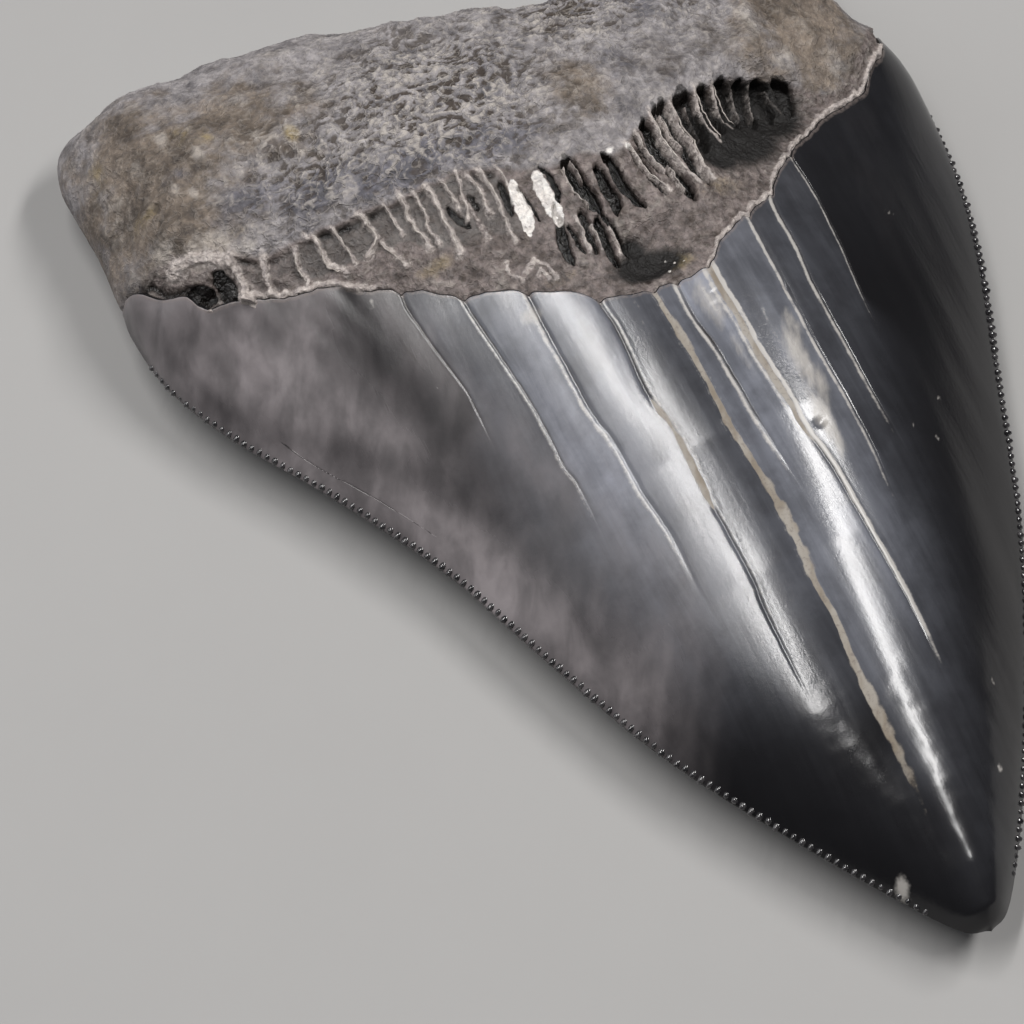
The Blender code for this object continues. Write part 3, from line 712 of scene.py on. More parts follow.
@dataclass
class Shell:
    """Points, faces and painted masks of one mesh while it grows."""

    points: Array
    faces: list[tuple[int, ...]]
    masks: dict[str, Array] = field(default_factory=dict)

    def normals(self) -> Array:
        """Works out unit normals of the points, from the faces about them.

        Returns:
            One normal for each point.
        """
        total = np.zeros_like(self.points)
        for corners in (3, 4):
            faces = np.array([face for face in self.faces if len(face) == corners], int)
            if not len(faces):
                continue
            turn = np.cross(self.points[faces[:, 2]] - self.points[faces[:, 0]],
                            self.points[faces[:, -1]] - self.points[faces[:, 1]])
            for corner in range(corners):
                np.add.at(total, faces[:, corner], turn)
        return total / np.maximum(np.linalg.norm(total, axis=1, keepdims=True), TINY)

    def paint(self, masks: dict[str, Array]) -> None:
        """Keeps masks of the first points, with 0 on all points after them."""
        for name, values in masks.items():
            self.masks[name] = np.pad(values.ravel(), (0, len(self.points) - values.size))

    def drop_unused(self) -> None:
        """Leaves points that no face uses where the first one is, so that they add nothing to the box."""
        unused = np.ones(len(self.points), bool)
        unused[list(itertools.chain.from_iterable(self.faces))] = False
        self.points[unused] = self.points[0]

    def to_object(self, name: str, material: bpy.types.Material) -> bpy.types.Object:
        """Makes the object, with its masks as point attributes.

        Args:
            name: the piece's name.
            material: its finish.

        Returns:
            The new object, linked to the scene.
        """
        piece = new_object(name, self.points, [], self.faces, self.masks)
        piece.data.shade_smooth()
        piece.data.materials.append(material)
        piece.data.validate()
        log.info("%s: %d points", name, len(self.points))
        return piece


def sheet_faces(index: Array, flip: bool) -> list[tuple[int, ...]]:
    """Faces of a grid of point numbers; a face with a repeated point becomes a triangle.

    Args:
        index: point numbers, one row for each row of the grid.
        flip: whether the faces point the other way.

    Returns:
        The faces.
    """
    corners = np.stack([index[:-1, :-1], index[:-1, 1:], index[1:, 1:], index[1:, :-1]], axis=-1)
    faces = []
    for face in corners.reshape(-1, 4).tolist():
        kept = tuple(dict.fromkeys(face))
        if len(kept) > 2:
            faces.append(kept[::-1] if flip else kept)
    return faces


def zipper_faces(one: Array, other: Array, places_one: Array, places_other: Array,
                 flip: bool = False) -> list[tuple[int, ...]]:
    """Triangles between two rims that share both ends.

    Args:
        one: point numbers of the first rim.
        other: point numbers of the second rim.
        places_one: rising places of the first rim's points.
        places_other: rising places of the second rim's points.
        flip: whether the faces point the other way.

    Returns:
        The triangles.
    """
    one, other = one.tolist(), other.tolist()
    faces = []
    i = j = 0
    while i < len(one) - 1 or j < len(other) - 1:
        if j == len(other) - 1 or (i < len(one) - 1 and places_one[i + 1] <= places_other[j + 1]):
            face = (one[i], one[i + 1], other[j])
            i += 1
        else:
            face = (one[i], other[j + 1], other[j])
            j += 1
        if len(set(face)) == 3:
            faces.append(face[::-1] if flip else face)
    return faces


@dataclass
class TwoFaces:
    """Inner and outer face of a shell, which share both sides and have one row at height zero."""

    x: Array
    y: Array
    outer_x: Array
    outer_y: Array
    level_row: int

    def __post_init__(self) -> None:
        """Works out the heights, the point numbers, the shell and its normals."""
        self.z = FORM.inner_height(self.x, self.y)
        self.outer_z = FORM.outer_height(self.outer_x, self.outer_y)
        for heights in (self.z, self.outer_z):
            heights[:, 0] = heights[:, -1] = heights[self.level_row] = 0.0
        self.inner = np.arange(self.x.size).reshape(self.x.shape)
        self.outer = np.arange(self.outer_x.size).reshape(self.outer_x.shape) + self.x.size
        self.outer[:, 0], self.outer[:, -1] = self.inner[:, 0], self.inner[:, -1]
        if self.level_row == 0:
            self.inner[0] = self.outer[0] = 0
        faces = sheet_faces(self.inner, flip=False) + sheet_faces(self.outer, flip=True)
        if self.level_row == -1:
            faces += zipper_faces(self.inner[-1], self.outer[-1], self.x[-1], self.outer_x[-1])
        points = np.vstack([stack(self.x, self.y, self.z), stack(self.outer_x, self.outer_y, self.outer_z)])
        self.shell = Shell(points, faces)
        self.normals = self.shell.normals()

    def raise_by(self, rise: Array, outer_rise: Array) -> None:
        """Moves both faces along their normals, but not below the surface that the tooth rests on.

        Args:
            rise: heights for the inner face.
            outer_rise: heights for the outer face.
        """
        height = np.concatenate([rise.ravel(), outer_rise.ravel()])
        self.shell.points = self.shell.points + self.normals * height[:, None]
        self.shell.points[:, 2] = np.maximum(self.shell.points[:, 2], -REST_DEPTH)


@dataclass
class EnamelCrown:
    """The enamel cap: fine inner face with its cracks, plainer outer face, and a rim turned in."""

    rows: int = 240
    outer_columns: int = 48
    column_step: float = 0.30
    fewest_columns: int = 8
    crowding: float = 0.68
    margin: float = 2.4
    crack_gap: float = 0.014
    bend_growth: float = 1.3
    rim_radius: float = 0.20
    rim_steps: int = 4
    rim_drop: float = 1.1
    lip_height: float = 0.03
    groove_depth: float = 0.06
    sag: float = 0.035

    def row_shares(self) -> Array:
        """Spaces the rows closer together near the tip and near the enamel's edge.

        Returns:
            Shares of the crown's length.
        """
        t = np.linspace(0.0, 1.0, 4000)
        density = 1 + 2.6 * np.exp(-t / 0.02) + 3.4 * np.exp(-(1 - t) / 0.025)
        walked = np.concatenate([[0.0], np.cumsum((density[1:] + density[:-1]) / 2)])
        return np.interp(np.linspace(0.0, 1.0, self.rows + 1), walked / walked[-1], t)

    def bent_y(self, x: Array, left: Array, right: Array, share: float, line: Array) -> Array:
        """Plan line of one row: straight at the tip, and more and more like the given line.

        Args:
            x: places across.
            left: left end of the row.
            right: right end of the row.
            share: share of the crown's length, from the tip.
            line: the line that the last row follows.

        Returns:
            Places along.
        """
        place = (x - left[0]) / max(right[0] - left[0], TINY)
        line_x = line[0, 0] + (line[-1, 0] - line[0, 0]) * place
        bend = on_line(line, line_x) - (line[0, 1] + (line[-1, 1] - line[0, 1]) * place)
        return left[1] + (right[1] - left[1]) * place + share**self.bend_growth * bend

    def plan(self, place: Array, shares: Array, lefts: Array, rights: Array,
             line: Array) -> tuple[Array, Array]:
        """Plan of one face.

        Args:
            place: the columns' places from 0 to 1.
            shares: the rows' shares of the crown's length.
            lefts: left end of each row.
            rights: right end of each row.
            line: the line that the last row follows.

        Returns:
            Places across and along.
        """
        x = lefts[:, :1] + np.maximum(rights[:, :1] - lefts[:, :1], TINY) * place
        return x, np.stack([self.bent_y(*row, line) for row in zip(x, lefts, rights, shares)])

    def crack_shares(self, shares: Array, lefts: Array, rights: Array) -> Array:
        """Places of the cracks across each row, which keep their order and thin out towards the tip.

        Args:
            shares: the rows' shares of the crown's length.
            lefts: left end of each row.
            rights: right end of each row.

        Returns:
            One row of places from 0 to 1 for each row of the crown.
        """
        found = np.zeros((len(shares), len(CRACKS)))
        for number, crack in enumerate(CRACKS):
            path = smooth_curve(crack.path, 8)
            (foot_x, foot_y), t = crack.path[-1], np.linspace(0.08, 1.0, 12)
            tail = np.column_stack([foot_x + (TIP[0] - foot_x) * t**2, foot_y + (TIP[1] - foot_y) * t])
            path = np.vstack([path, tail])
            place = 0.5
            for row in range(len(shares) - 1, -1, -1):
                left, right = lefts[row], rights[row]
                width = max(right[0] - left[0], TINY)
                for _ in range(4):
                    x = np.array(left[0] + width * place)
                    y = self.bent_y(x, left, right, shares[row], FORM.enamel_line)
                    wander = 0.05 * FINE_GRAIN.at(np.array([[y / 2.1, number * 3.7, 0.5]]))[0]
                    wander += 0.03 * FINE_GRAIN.at(np.array([[y / 0.8, number * 5.1, 4.5]]))[0]
                    place = (np.interp(-y, -path[:, 1], path[:, 0]) + wander - left[0]) / width
                    place = min(max(place, 0.02), 0.98)
                found[row, number] = place
        for number in range(1, len(CRACKS)):
            found[:, number] = np.maximum(found[:, number], found[:, number - 1] + self.crack_gap)
        return np.clip(found, 0.05, 0.95)

    def columns(self, shares: Array, width: Array, cracks: Array) -> Array:
        """Places across of every column, close together beside the cracks.

        Args:
            shares: the rows' shares of the crown's length.
            width: width of each row.
            cracks: the cracks' places from 0 to 1 in each row.

        Returns:
            One row of places from 0 to 1 for each row of the crown.
        """
        margin = np.minimum(self.margin / width, 0.04)[:, None]
        inner_knots = np.clip(cracks, margin + 0.01, 0.99 - margin)
        knots = np.hstack([0 * margin, margin, inner_knots, 1 - margin, 1 + 0 * margin])
        widest = int(np.argmin(np.abs(shares - 0.86)))
        spans = np.diff(knots[widest]) * width[widest]
        places = []
        for number, span in enumerate(spans):
            count = max(int(round(span / self.column_step)), self.fewest_columns)
            t = np.arange(count) / count
            crowd = 0.0 if number in (0, len(spans) - 1) else self.crowding
            t = t - crowd * np.sin(2 * np.pi * t) / (2 * np.pi)
            start, end = knots[:, number:number + 1], knots[:, number + 1:number + 2]
            places.append(start + (end - start) * t)
        return np.hstack(places + [knots[:, -1:]])

    def crack_relief(self, x: Array, y: Array, place: Array, cracks: Array,
                     width: Array) -> tuple[Array, dict[str, Array]]:
        """Grooves, lips and clay of the cracks, and how pale the plates between them are, part stain and part
        painted reflection.

        Args:
            x: places across, one row for each row of the crown.
            y: places along.
            place: the columns' places from 0 to 1.
            cracks: the cracks' places from 0 to 1 in each row.
            width: width of each row.

        Returns:
            Height along the normal, and the masks that the finish reads.
        """
        rise, groove, lip, clay, plate, before = (np.zeros_like(x) for _ in range(6))
        for number, crack in enumerate(CRACKS):
            rough, uneven, patchy = (
                1 + tall * FINE_GRAIN.over(x * 0 + number * apart, y, size, seed)
                for tall, apart, size, seed in ((0.45, 4, 0.9, 2.2), (0.3, 3, 1.7, 7.7), (0.25, 2, 1.1, 4.4)))
            off = (place - cracks[:, number:number + 1]) * width[:, None]
            foot, head = crack.path[-1][1], crack.path[0][1]
            down = ramp(y, foot, head)
            strength = ramp(y, foot - 1.5, foot + 0.25 * (head - foot))
            wide = crack.width * (0.8 + 0.4 * down) * uneven
            filled = profile(crack.clay, y) * patchy
            clay_here = ramp(filled + 0.08 - np.abs(off), 0.0, 0.16) * ramp(filled, 0.03, 0.12)
            side = np.maximum(wide, filled) + crack.lip_width
            left, right = ((crack.lips[way] * down + crack.foot_lips[way] * (1 - down))
                           * hump(off + sign * side, crack.lip_width) for way, sign in ((0, 1), (1, -1)))
            lips = (left + right) * strength * rough
            dark = profile(crack.dark, y) * strength * rough * hump(off, wide) * (1 - clay_here)
            rise += self.lip_height * lips - self.groove_depth * strength * hump(off, wide) * (1 - clay_here)
            rise -= self.sag * strength * hump(off, 1.2)
            groove, lip = np.maximum(groove, dark), np.maximum(lip, lips)
            clay = np.maximum(clay, clay_here * strength)
            # Plate paleness: part stain, part painted reflection of the softboxes.
            tone = profile(crack.plate, y)
            soft = 0.05 + 2.95 * (1 - unit(strength))
            plate += (tone - before) * (0.5 + 0.5 * np.tanh(off / soft))
            before = tone
        for mark in MARKS:
            far, share = from_path(mark.path, x, y)
            near = hump(far, mark.half) * unit(5 * share * (1 - share))
            groove = np.maximum(groove, -mark.pale * near)
            lip = np.maximum(lip, mark.pale * near)
        lip = np.maximum(lip, patches(CHIPS, x, y))
        return rise, {"groove": groove, "lip": lip, "clay": clay, "plate": unit(plate)}

    def skin_relief(self, x: Array, y: Array) -> Array:
        """Waves, ripples and small pits of the enamel between the cracks.

        Args:
            x, y: places across and along.

        Returns:
            Height along the normal.
        """
        rise = 0.10 * BROAD_GRAIN.over(x, y, 7.0, 1.3, 4.0)
        rise += 0.022 * BROAD_GRAIN.over(x, y, 2.3, 6.1, 6.0)
        rise += 0.10 * self.ripples(x, y)
        rise += 0.02 * ramp(-y, 62.0, 72.0) * FINE_GRAIN.over(x, y, 1.2, 3.8)
        return rise - 0.22 * patches(PITS, x, y)

    def ripples(self, x: Array, y: Array) -> Array:
        """Ripples of the left shoulder."""
        shoulder = ramp(y, -23.0, -13.0) * ramp(-x, 20.0, 26.0)
        return shoulder * FINE_GRAIN.over(x + 0.4 * y, y, 1.5, 5.5, 6.0)

    def build(self, material: bpy.types.Material) -> bpy.types.Object:
        """Builds the cap.

        Args:
            material: the enamel's finish.

        Returns:
            The finished object.
        """
        shares = self.row_shares()
        lefts, rights = along(FORM.left_crown, shares), along(FORM.right_crown, shares)
        width = np.maximum(rights[:, 0] - lefts[:, 0], TINY)
        cracks = self.crack_shares(shares, lefts, rights)
        place = self.columns(shares, width, cracks)
        x, y = self.plan(place, shares, lefts, rights, FORM.enamel_line)
        ragged = FORM.enamel_y(x[-1])
        y += ramp(shares, 0.955, 1.0)[:, None] * (ragged - y[-1])[None, :]
        y[:, 0], y[:, -1] = lefts[:, 1], rights[:, 1]
        even = np.linspace(0, 1, self.outer_columns + 1)
        outer_place = 0.5 * (1 - np.cos(np.pi * even)) / 2 + 0.5 * even
        ox, oy = self.plan(outer_place, shares, lefts, rights, FORM.outer_line)
        sides = TwoFaces(x, y, ox, oy, 0)

        # Relief of the inner face and a calmer one outside.
        rise, masks = self.crack_relief(x, y, place, cracks, width)
        rise = rise + self.skin_relief(x, y)
        outer_rise = -0.12 * np.abs(BROAD_GRAIN.over(ox, oy, 3.4, 9.3, 6.0))
        near_tip = ramp(shares, 0.0, 0.02)[:, None]
        rise, outer_rise = (
            height * ramp(np.minimum(at, 1 - at) * width[:, None], 0.1, calm) * near_tip
            for height, at, calm in ((rise, place, 2.6), (outer_rise, outer_place, 3.0)))
        sides.raise_by(rise, outer_rise)
        self.turn_rim(sides)
        # The flank's tone is part stain and part painted sheen; the pale patches are partly painted
        # highlight.
        sides.shell.paint({**masks, "tone": self.tones(x, y), "cream_and_highlight": patches(CREAM_AND_HIGHLIGHT, x, y),
                           "collar": ramp(y - ragged, -0.55, -0.05)})
        return sides.shell.to_object("enamel_crown", material)

    def turn_rim(self, sides: TwoFaces) -> None:
        """Turns the enamel's edge in and closes the cap behind it.

        Args:
            sides: both faces of the cap, whose shell grows.
        """
        shell, closing = sides.shell, []
        for index, flip in ((sides.inner, False), (sides.outer, True)):
            edge = index[-1]
            start = shell.points[edge]
            back = start - shell.points[index[-2]]
            back[:, 2] = 0
            back /= np.maximum(np.linalg.norm(back, axis=1, keepdims=True), TINY)
            rings = [edge]
            for step in range(1, self.rim_steps + 2):
                angle = min(step / self.rim_steps, 1.0) * math.pi / 2
                drop = self.rim_radius * (1 - math.cos(angle)) + self.rim_drop * (step > self.rim_steps)
                ring = start + back * self.rim_radius * math.sin(angle) - sides.normals[edge] * drop
                numbers = np.arange(len(edge)) + len(shell.points)
                numbers[0], numbers[-1] = edge[0], edge[-1]
                shell.points = np.vstack([shell.points, ring])
                rings.append(numbers)
            shell.faces += sheet_faces(np.stack(rings), flip=flip)
            closing.append(rings[-1])
        shell.faces += zipper_faces(*closing, *(shell.points[ring, 0] for ring in closing))
        shell.drop_unused()

    def tones(self, x: Array, y: Array) -> Array:
        """How pale the left flank is, part stain and part painted sheen: clouds, ripples, two dark bands and
        a ragged foot.

        Args:
            x, y: places across and along.

        Returns:
            Paleness from 0 to 1.
        """
        flank, _ = from_path(FLANK_SHEEN_MIDDLE, x, y)
        streak, _ = from_path(FLANK_STREAK, x, y)
        shade, share = from_path(FLANK_SHADE, x, y)
        lower, _ = from_path(FLANK_LOWER, x, y)
        edge, _ = from_path(FLANK_EDGE, x, y)
        clouds = BROAD_GRAIN.over(x, y, 6.0, 3.3, 1.6)
        mottle = FINE_GRAIN.over(x - 0.43 * y, y, 1.3, 1.9, 2.6)
        tone = 0.70 * (1 - ramp(flank, 6.5, 15.0)) + 0.22 * clouds + 0.08 * mottle
        tone += 0.32 * self.ripples(x, y)
        tone *= 1 - 0.42 * hump(streak, 1.4)
        tone *= 1 - 0.78 * hump(shade, 2.6 + 2.2 * share)
        tone += 0.10 * hump(lower, 2.6) * (0.6 + mottle)
        tone += 0.22 * hump(edge, 1.8)
        side = x - profile(FLANK_END, y)
        tone *= 1 - 0.85 * ramp(side, -1.0, 4.5)
        tone *= 1 - 0.35 * ramp(-y, 42.0, 60.0)
        end = -63.0 + 0.9 * np.maximum(x + 14.0, 0.0)
        tone *= ramp(y + 3.0 * clouds + 1.0 * mottle, end - 9.0, end + 9.0)
        return unit(tone)


def wobbled(x: Array, y: Array, seed: float) -> tuple[Array, Array]:
    """Places moved a little, so that what is drawn at them has a ragged outline."""
    fine, wide, down = (tall * FINE_GRAIN.over(x, y, size, seed + apart)
                        for tall, size, apart in ((0.13, 0.45, 0.0), (0.16, 1.3, 6.0), (0.2, 0.7, 3.0)))
    return x + (fine + wide), y + down


def raised(paths: tuple[Rib, ...], x: Array, y: Array, seed: float) -> tuple[Array, Array, Array]:
    """Walls along several paths, wider at both ends.

    Args:
        paths: the walls.
        x, y: places across and along.
        seed: number that fixes their ragged sides.

    Returns:
        Share of a wall at each place, how far it stands up, and how pale it is, part chalk and part painted
        highlight.
    """
    wall, rise, crest = (np.zeros(np.shape(x)) for _ in range(3))
    at_x, at_y = wobbled(x, y, seed)
    for rib in paths:
        far, share = from_path(rib.path, at_x, at_y)
        half = rib.girth.value * (0.80 + 0.6 * np.abs(2 * share - 1) ** 3)
        here = 1 - ramp(far, half * 0.5, half + 0.04)
        wall = np.maximum(wall, here * (1 + min(rib.tall, 0.0)))
        rise = np.maximum(rise, max(rib.tall, 0.0) * here)
        crest = np.maximum(crest, rib.pale * hump(far, half * 1.25 + 0.06))
    return wall, rise, crest


def sunk(cells: tuple[Cell, ...], x: Array, y: Array, seed: float) -> tuple[Array, Array]:
    """Lens-shaped hollows along several paths.

    Args:
        cells: the hollows.
        x, y: places across and along.
        seed: number that fixes their ragged sides.

    Returns:
        Depth at each place, and how dark it is.
    """
    depth, shade = np.zeros(np.shape(x)), np.zeros(np.shape(x))
    at_x, at_y = wobbled(x, y, seed)
    for cell in cells:
        far, share = from_path(cell.path, at_x, at_y)
        half = 1.18 * cell.half * np.clip(1.02 - (2 * share - 1) ** 2, 0.04, 1.0) ** 0.28
        inside = 1 - ramp(far, half * 0.82, half * 1.1 + 0.05)
        depth = np.maximum(depth, cell.depth * inside)
        shade = np.maximum(shade, cell.shade.value * inside)
    return depth, shade


@dataclass
class RootSkin:
    """Relief and colour masks of everything that isn't enamel: the band, its rim and the root."""

    level: float = 0.32
    wrinkle: float = 0.55
    lively: tuple[Spot, ...] = spots(
        (-8, 2, 12, 11, 1), (-20, 0, 9, 7, 0.7), (9, 8, 8, 8, 0.8),
        (20, 6, 7, 8, 0.5))
    warm: tuple[Spot, ...] = spots(
        (-35, 6, 8, 14, 1), (-25, 9, 9, 8, 0.8), (-37, -2, 5, 5, 0.9),
        (31, 0, 8, 12, 1), (4.5, -3, 3.2, 4.6, 0.9), (24, -3, 3, 6, 0.8))
    ochre: tuple[Spot, ...] = spots(
        (-21.5, 4.6, 0.75, 1.25, 1), (-30.6, 10.3, 1.6, 1.8, 0.4), (-28.7, 8.4, 1.8, 1.3, 0.45),
        (-36.9, 3.8, 2, 1.4, 0.45), (-30.7, -3, 2.6, 0.8, 0.4), (-38.6, 12.5, 1.2, 2, 0.45),
        (-15.4, -15.2, 2.4, 1, 0.5), (12.8, -18.2, 3.2, 1.6, 0.4), (-6, -21.8, 2.6, 0.9, 0.35),
        (4.9, -24.2, 1.7, 1.1, 0.9), (1.6, -23, 1.6, 0.8, 0.5))
    brown: tuple[Spot, ...] = spots(
        (-22.5, 13.3, 1.4, 1.5, 0.6), (-20.7, 12.8, 1.1, 1.6, 0.55), (-24.8, 8.1, 1, 1.6, 0.5),
        (-12.5, 12.8, 3, 1, 0.6), (-33.2, 6.9, 0.8, 1, 0.6), (6.3, 6.6, 3.4, 2.6, 0.6),
        (20.1, -1.4, 2.6, 3.6, 0.7), (27.6, 0.2, 1.5, 2.6, 0.7), (33.7, -6.6, 1.2, 1, 0.8),
        (14, -2.5, 5, 3.4, 0.6), (0, -8, 4, 1.6, 0.45))
    pale: tuple[Spot, ...] = spots(
        (-32.3, 10.9, 0.8, 1.6, 0.8), (-30.1, 7, 0.7, 1.5, 0.85), (-33.5, 4.4, 0.6, 1.1, 0.75),
        (-32.2, 2.9, 0.5, 0.9, 0.7), (-27.4, 3.1, 0.6, 1.2, 0.6), (-24.6, 5.6, 0.8, 1.6, 0.5),
        (-35.5, 9, 1, 2.2, 0.5), (4.4, -4, 2, 3.4, 0.35), (24.4, -1, 0.9, 3, 0.6),
        (26.6, -5, 2.4, 1.6, 0.5), (-15, 17, 9, 2, 0.3), (32, -6, 3, 2.4, 0.45),
        (-33.4, -3, 2.6, 1.5, 1.1), (-36.8, -0.6, 1.6, 1.6, 0.8), (-30.2, -4.6, 1.4, 0.8, 0.7),
        (-38.5, 8, 1.6, 5, 0.4), (-18, 9.5, 3, 1.2, 0.35), (30, 9, 4, 2.4, 0.45))
    slate: tuple[Spot, ...] = spots(
        (-33, 5.4, 1.8, 1.6, 0.5), (-28, -0.4, 5, 3.2, 0.7), (-22, -3.2, 5, 3.4, 0.8),
        (-14, -5.2, 7, 3, 1), (-6, -6.4, 5, 2.6, 0.9), (-3, 1, 6, 5, 0.45),
        (9.7, -2, 2.6, 3.6, 0.6), (-24, 4, 3, 2.4, 0.4), (16, 6, 5, 5, 0.5))
    hollow: tuple[Spot, ...] = spots(
        (17.2, -12, 4.6, 4, 1.3), (21.4, -9.8, 4.2, 3.6, 1.3), (14.6, -14.4, 2.2, 2.2, 1))
    well: tuple[Spot, ...] = spots(
        (2.4, -23.6, 3.3, 1.7, 1.25), (1.9, -21.6, 1.3, 1.3, 0.9))
    pits: int = 90
    pit_seed: int = 305
    slit_seed: float = 5.0
    plate_seed: float = 9.0
    rim_seed: float = 22.0
    hollow_depth: float = 0.85
    well_depth: float = 0.9
    gap_depth: float = 0.5

    def pit_field(self, x: Array, y: Array) -> Array:
        """Small round pits strewn over the root.

        Args:
            x, y: places across and along.

        Returns:
            Depth of the pits.
        """
        draw = np.random.default_rng(self.pit_seed)
        depth = np.zeros(np.shape(x))
        for _ in range(self.pits):
            at_x, at_y = draw.uniform(-38, 38), draw.uniform(-8, 20)
            reach, tall = draw.uniform(0.16, 0.42), draw.uniform(0.12, 0.34)
            near = (np.abs(x - at_x) < 1.3) & (np.abs(y - at_y) < 1.3)
            if near.any():
                far = ((x[near] - at_x) ** 2 + ((y[near] - at_y) * 0.7) ** 2) / reach**2
                depth[near] = np.maximum(depth[near], tall * np.exp(-(far**1.5)))
        return depth

    def lumps(self, x: Array, y: Array, z: Array) -> Array:
        """Coarse lumps of the root, the same as its solid has.

        Args:
            x, y: places across and along.
            z: heights of the bare form.

        Returns:
            Height along the normal.
        """
        points = stack(x, y, z)
        share = FORM.root_share(points[:, 1] + 4.0)
        rise = np.zeros(len(points))
        for number in np.flatnonzero((share > 0.05) & (points[:, 2] > -REST_DEPTH + 0.01)):
            place = Vector(points[number])
            lump = sum(noise.noise(place / size + LUMP_SEED) * tall for size, tall in LUMPS)
            rise[number] = share[number] * lump
        return rise.reshape(np.shape(x))

    def sample(self, x: Array, y: Array, z: Array) -> tuple[Array, dict[str, Array]]:
        """Height along the normal and masks over the inner face.

        Args:
            x, y: places across and along.
            z: heights of the bare form.

        Returns:
            The relief and the masks that the finish reads.
        """
        tops, feet = FORM.tops_y(x), FORM.feet_y(x)
        on_root = ramp(y - tops, -0.15, 0.6)
        above_edge = y - FORM.enamel_y(x)

        # Wrinkled root, strongest in its middle.
        lively = 0.22 + 0.78 * patches(self.lively, x, y)
        worms = WORM_GRAIN.worms(stack(x / 1.3, y / 1.05, z / 1.3)).reshape(np.shape(x))
        coarse = BROAD_GRAIN.layers(stack(x / 3.4, y / 3.0, z / 3.4), 3, 0.55).reshape(np.shape(x))
        fine = FINE_GRAIN.layers(stack(x / 0.6, y / 0.6, z / 0.6), 2, 0.6).reshape(np.shape(x))
        pits = self.pit_field(x, y)
        spurs = np.zeros(np.shape(x))
        for spur in SPURS:
            far, share = from_path(spur.path, x, y)
            spurs = np.maximum(spurs, spur.tall * hump(far, 1.3) * np.sin(np.pi * share))
        worms = worms - 0.45
        root = self.wrinkle * lively * worms + (0.12 + 0.14 * lively) * coarse + 0.05 * fine - pits + spurs

        # Band: grey cells at the left with painted shadow in their upper corners, black slits at the right,
        # walls with pale tops that are partly painted highlight, plates, crust, rims, and a dent at the left
        # shoulder painted dark as shadow.
        wall, stand, crest = raised(RIBS, x, y, RIB_SEED)
        _, rim_stand, rim_crest = raised(RIMS, x, y, self.rim_seed)
        slit, shade = sunk(CELLS, x, y, self.slit_seed)
        _, plate = sunk(PLATES, x, y, self.plate_seed)
        grey = (ramp(y - feet, -0.1, 0.6) * ramp(tops - y, -0.1, 0.4) * ramp(x, -33.0, -31.8)
                * ramp(-x, 6.4, 7.4))
        # Painted shadow under the upper ledge of each grey cell, which also deepens the cell a little.
        corner = hump(tops - 0.5 - y, 0.5) * grey
        hollow, well = (unit(patches(soft, x, y)) for soft in (self.hollow, self.well))
        # A dent under the root's lip at the left shoulder, painted dark as its shadow.
        shadowed_gap = hump(above_edge - 0.7 - 0.5 * FINE_GRAIN.over(x, y, 1.2, 9.9), 0.7) * ramp(-x, 32.6, 34.0)
        open_side = unit(1 - wall)
        uneven = 0.65 + 0.6 * BROAD_GRAIN.over(x, y, 2.2, 3.6)
        corner = corner * unit(uneven)
        sink = np.maximum(slit, (0.26 + 0.3 * corner) * grey * uneven) * open_side
        crusty = 0.13 * coarse + 0.12 * worms + 0.07 * fine
        shelf = -self.level * ramp(tops - y, 0.2, 3.0)
        band = (shelf + crusty * (1 - 0.6 * grey) - sink + stand * (1 - 0.3 * shade) + rim_stand
                - self.hollow_depth * hollow - self.well_depth * well * (1 + 0.4 * coarse)
                - self.gap_depth * shadowed_gap)
        lip_size = 0.12 + 0.75 * ramp(-x, 19.0, 24.0) + 0.65 * ramp(x, 6.0, 10.0)
        lip_size = lip_size * (1 + 0.7 * FINE_GRAIN.over(x, y, 1.1, 7.1))
        lip_size = lip_size * (1 - 0.85 * ramp(-x, 33.0, 35.5))
        lip_at = 0.40 + 0.20 * BROAD_GRAIN.over(x, y * 0, 1.1, 5.7)
        lip = hump(above_edge - lip_at, 0.26 + 0.12 * lip_size)
        band += 0.5 * lip_size * lip
        rise = band * (1 - on_root) + root * on_root + self.lumps(x, y, z)
        rise = rise * FORM.calm_border(x, y) - 0.5 * ramp(-above_edge, -0.1, 0.4)

        off_root = 1 - on_root
        # Dark: slit and hollow floors, with painted shadow in the grey cells' upper corners and in the dent
        # at the left shoulder.
        dark = np.maximum.reduce([shade * open_side, 1.2 * hollow, 1.2 * well, 0.7 * shadowed_gap,
                                  0.7 * corner * open_side])
        pale_crest = np.maximum.reduce([crest * (1 - 0.35 * on_root), rim_crest, lip * lip_size * 1.6])
        wrinkle_shading = 1.25 * worms * (lively * on_root + 0.35 * off_root)
        masks = {
            "dark": (unit(dark) * unit(off_root + 0.6 * shade)
                     * (1 - unit(0.8 * crest))),
            "floor": grey * open_side * off_root * (1 - 0.6 * ramp(-x, 25.5, 27.5)),
            "crest": unit(pale_crest),
            "plate": unit(np.maximum(plate, patches(FLECKS, x, y))),
            "band": off_root,
            "hollow": unit(np.maximum(hollow, well)) * off_root,
            "lively": lively * on_root,
            "warm": patches(self.warm, x, y),
            "slate": patches(self.slate, x, y),
            "ochre": patches(self.ochre, x, y),
            "brown": np.maximum(patches(self.brown, x, y), 1.4 * pits),
            "pale": np.maximum(patches(self.pale, x, y), 0.7 * unit(spurs)),
            # Relief: drives painted shade in the wrinkles' valleys and painted highlight on their crests.
            "relief": unit(0.5 + wrinkle_shading + 0.28 * coarse),
        }
        return rise, masks


SKIN = RootSkin()


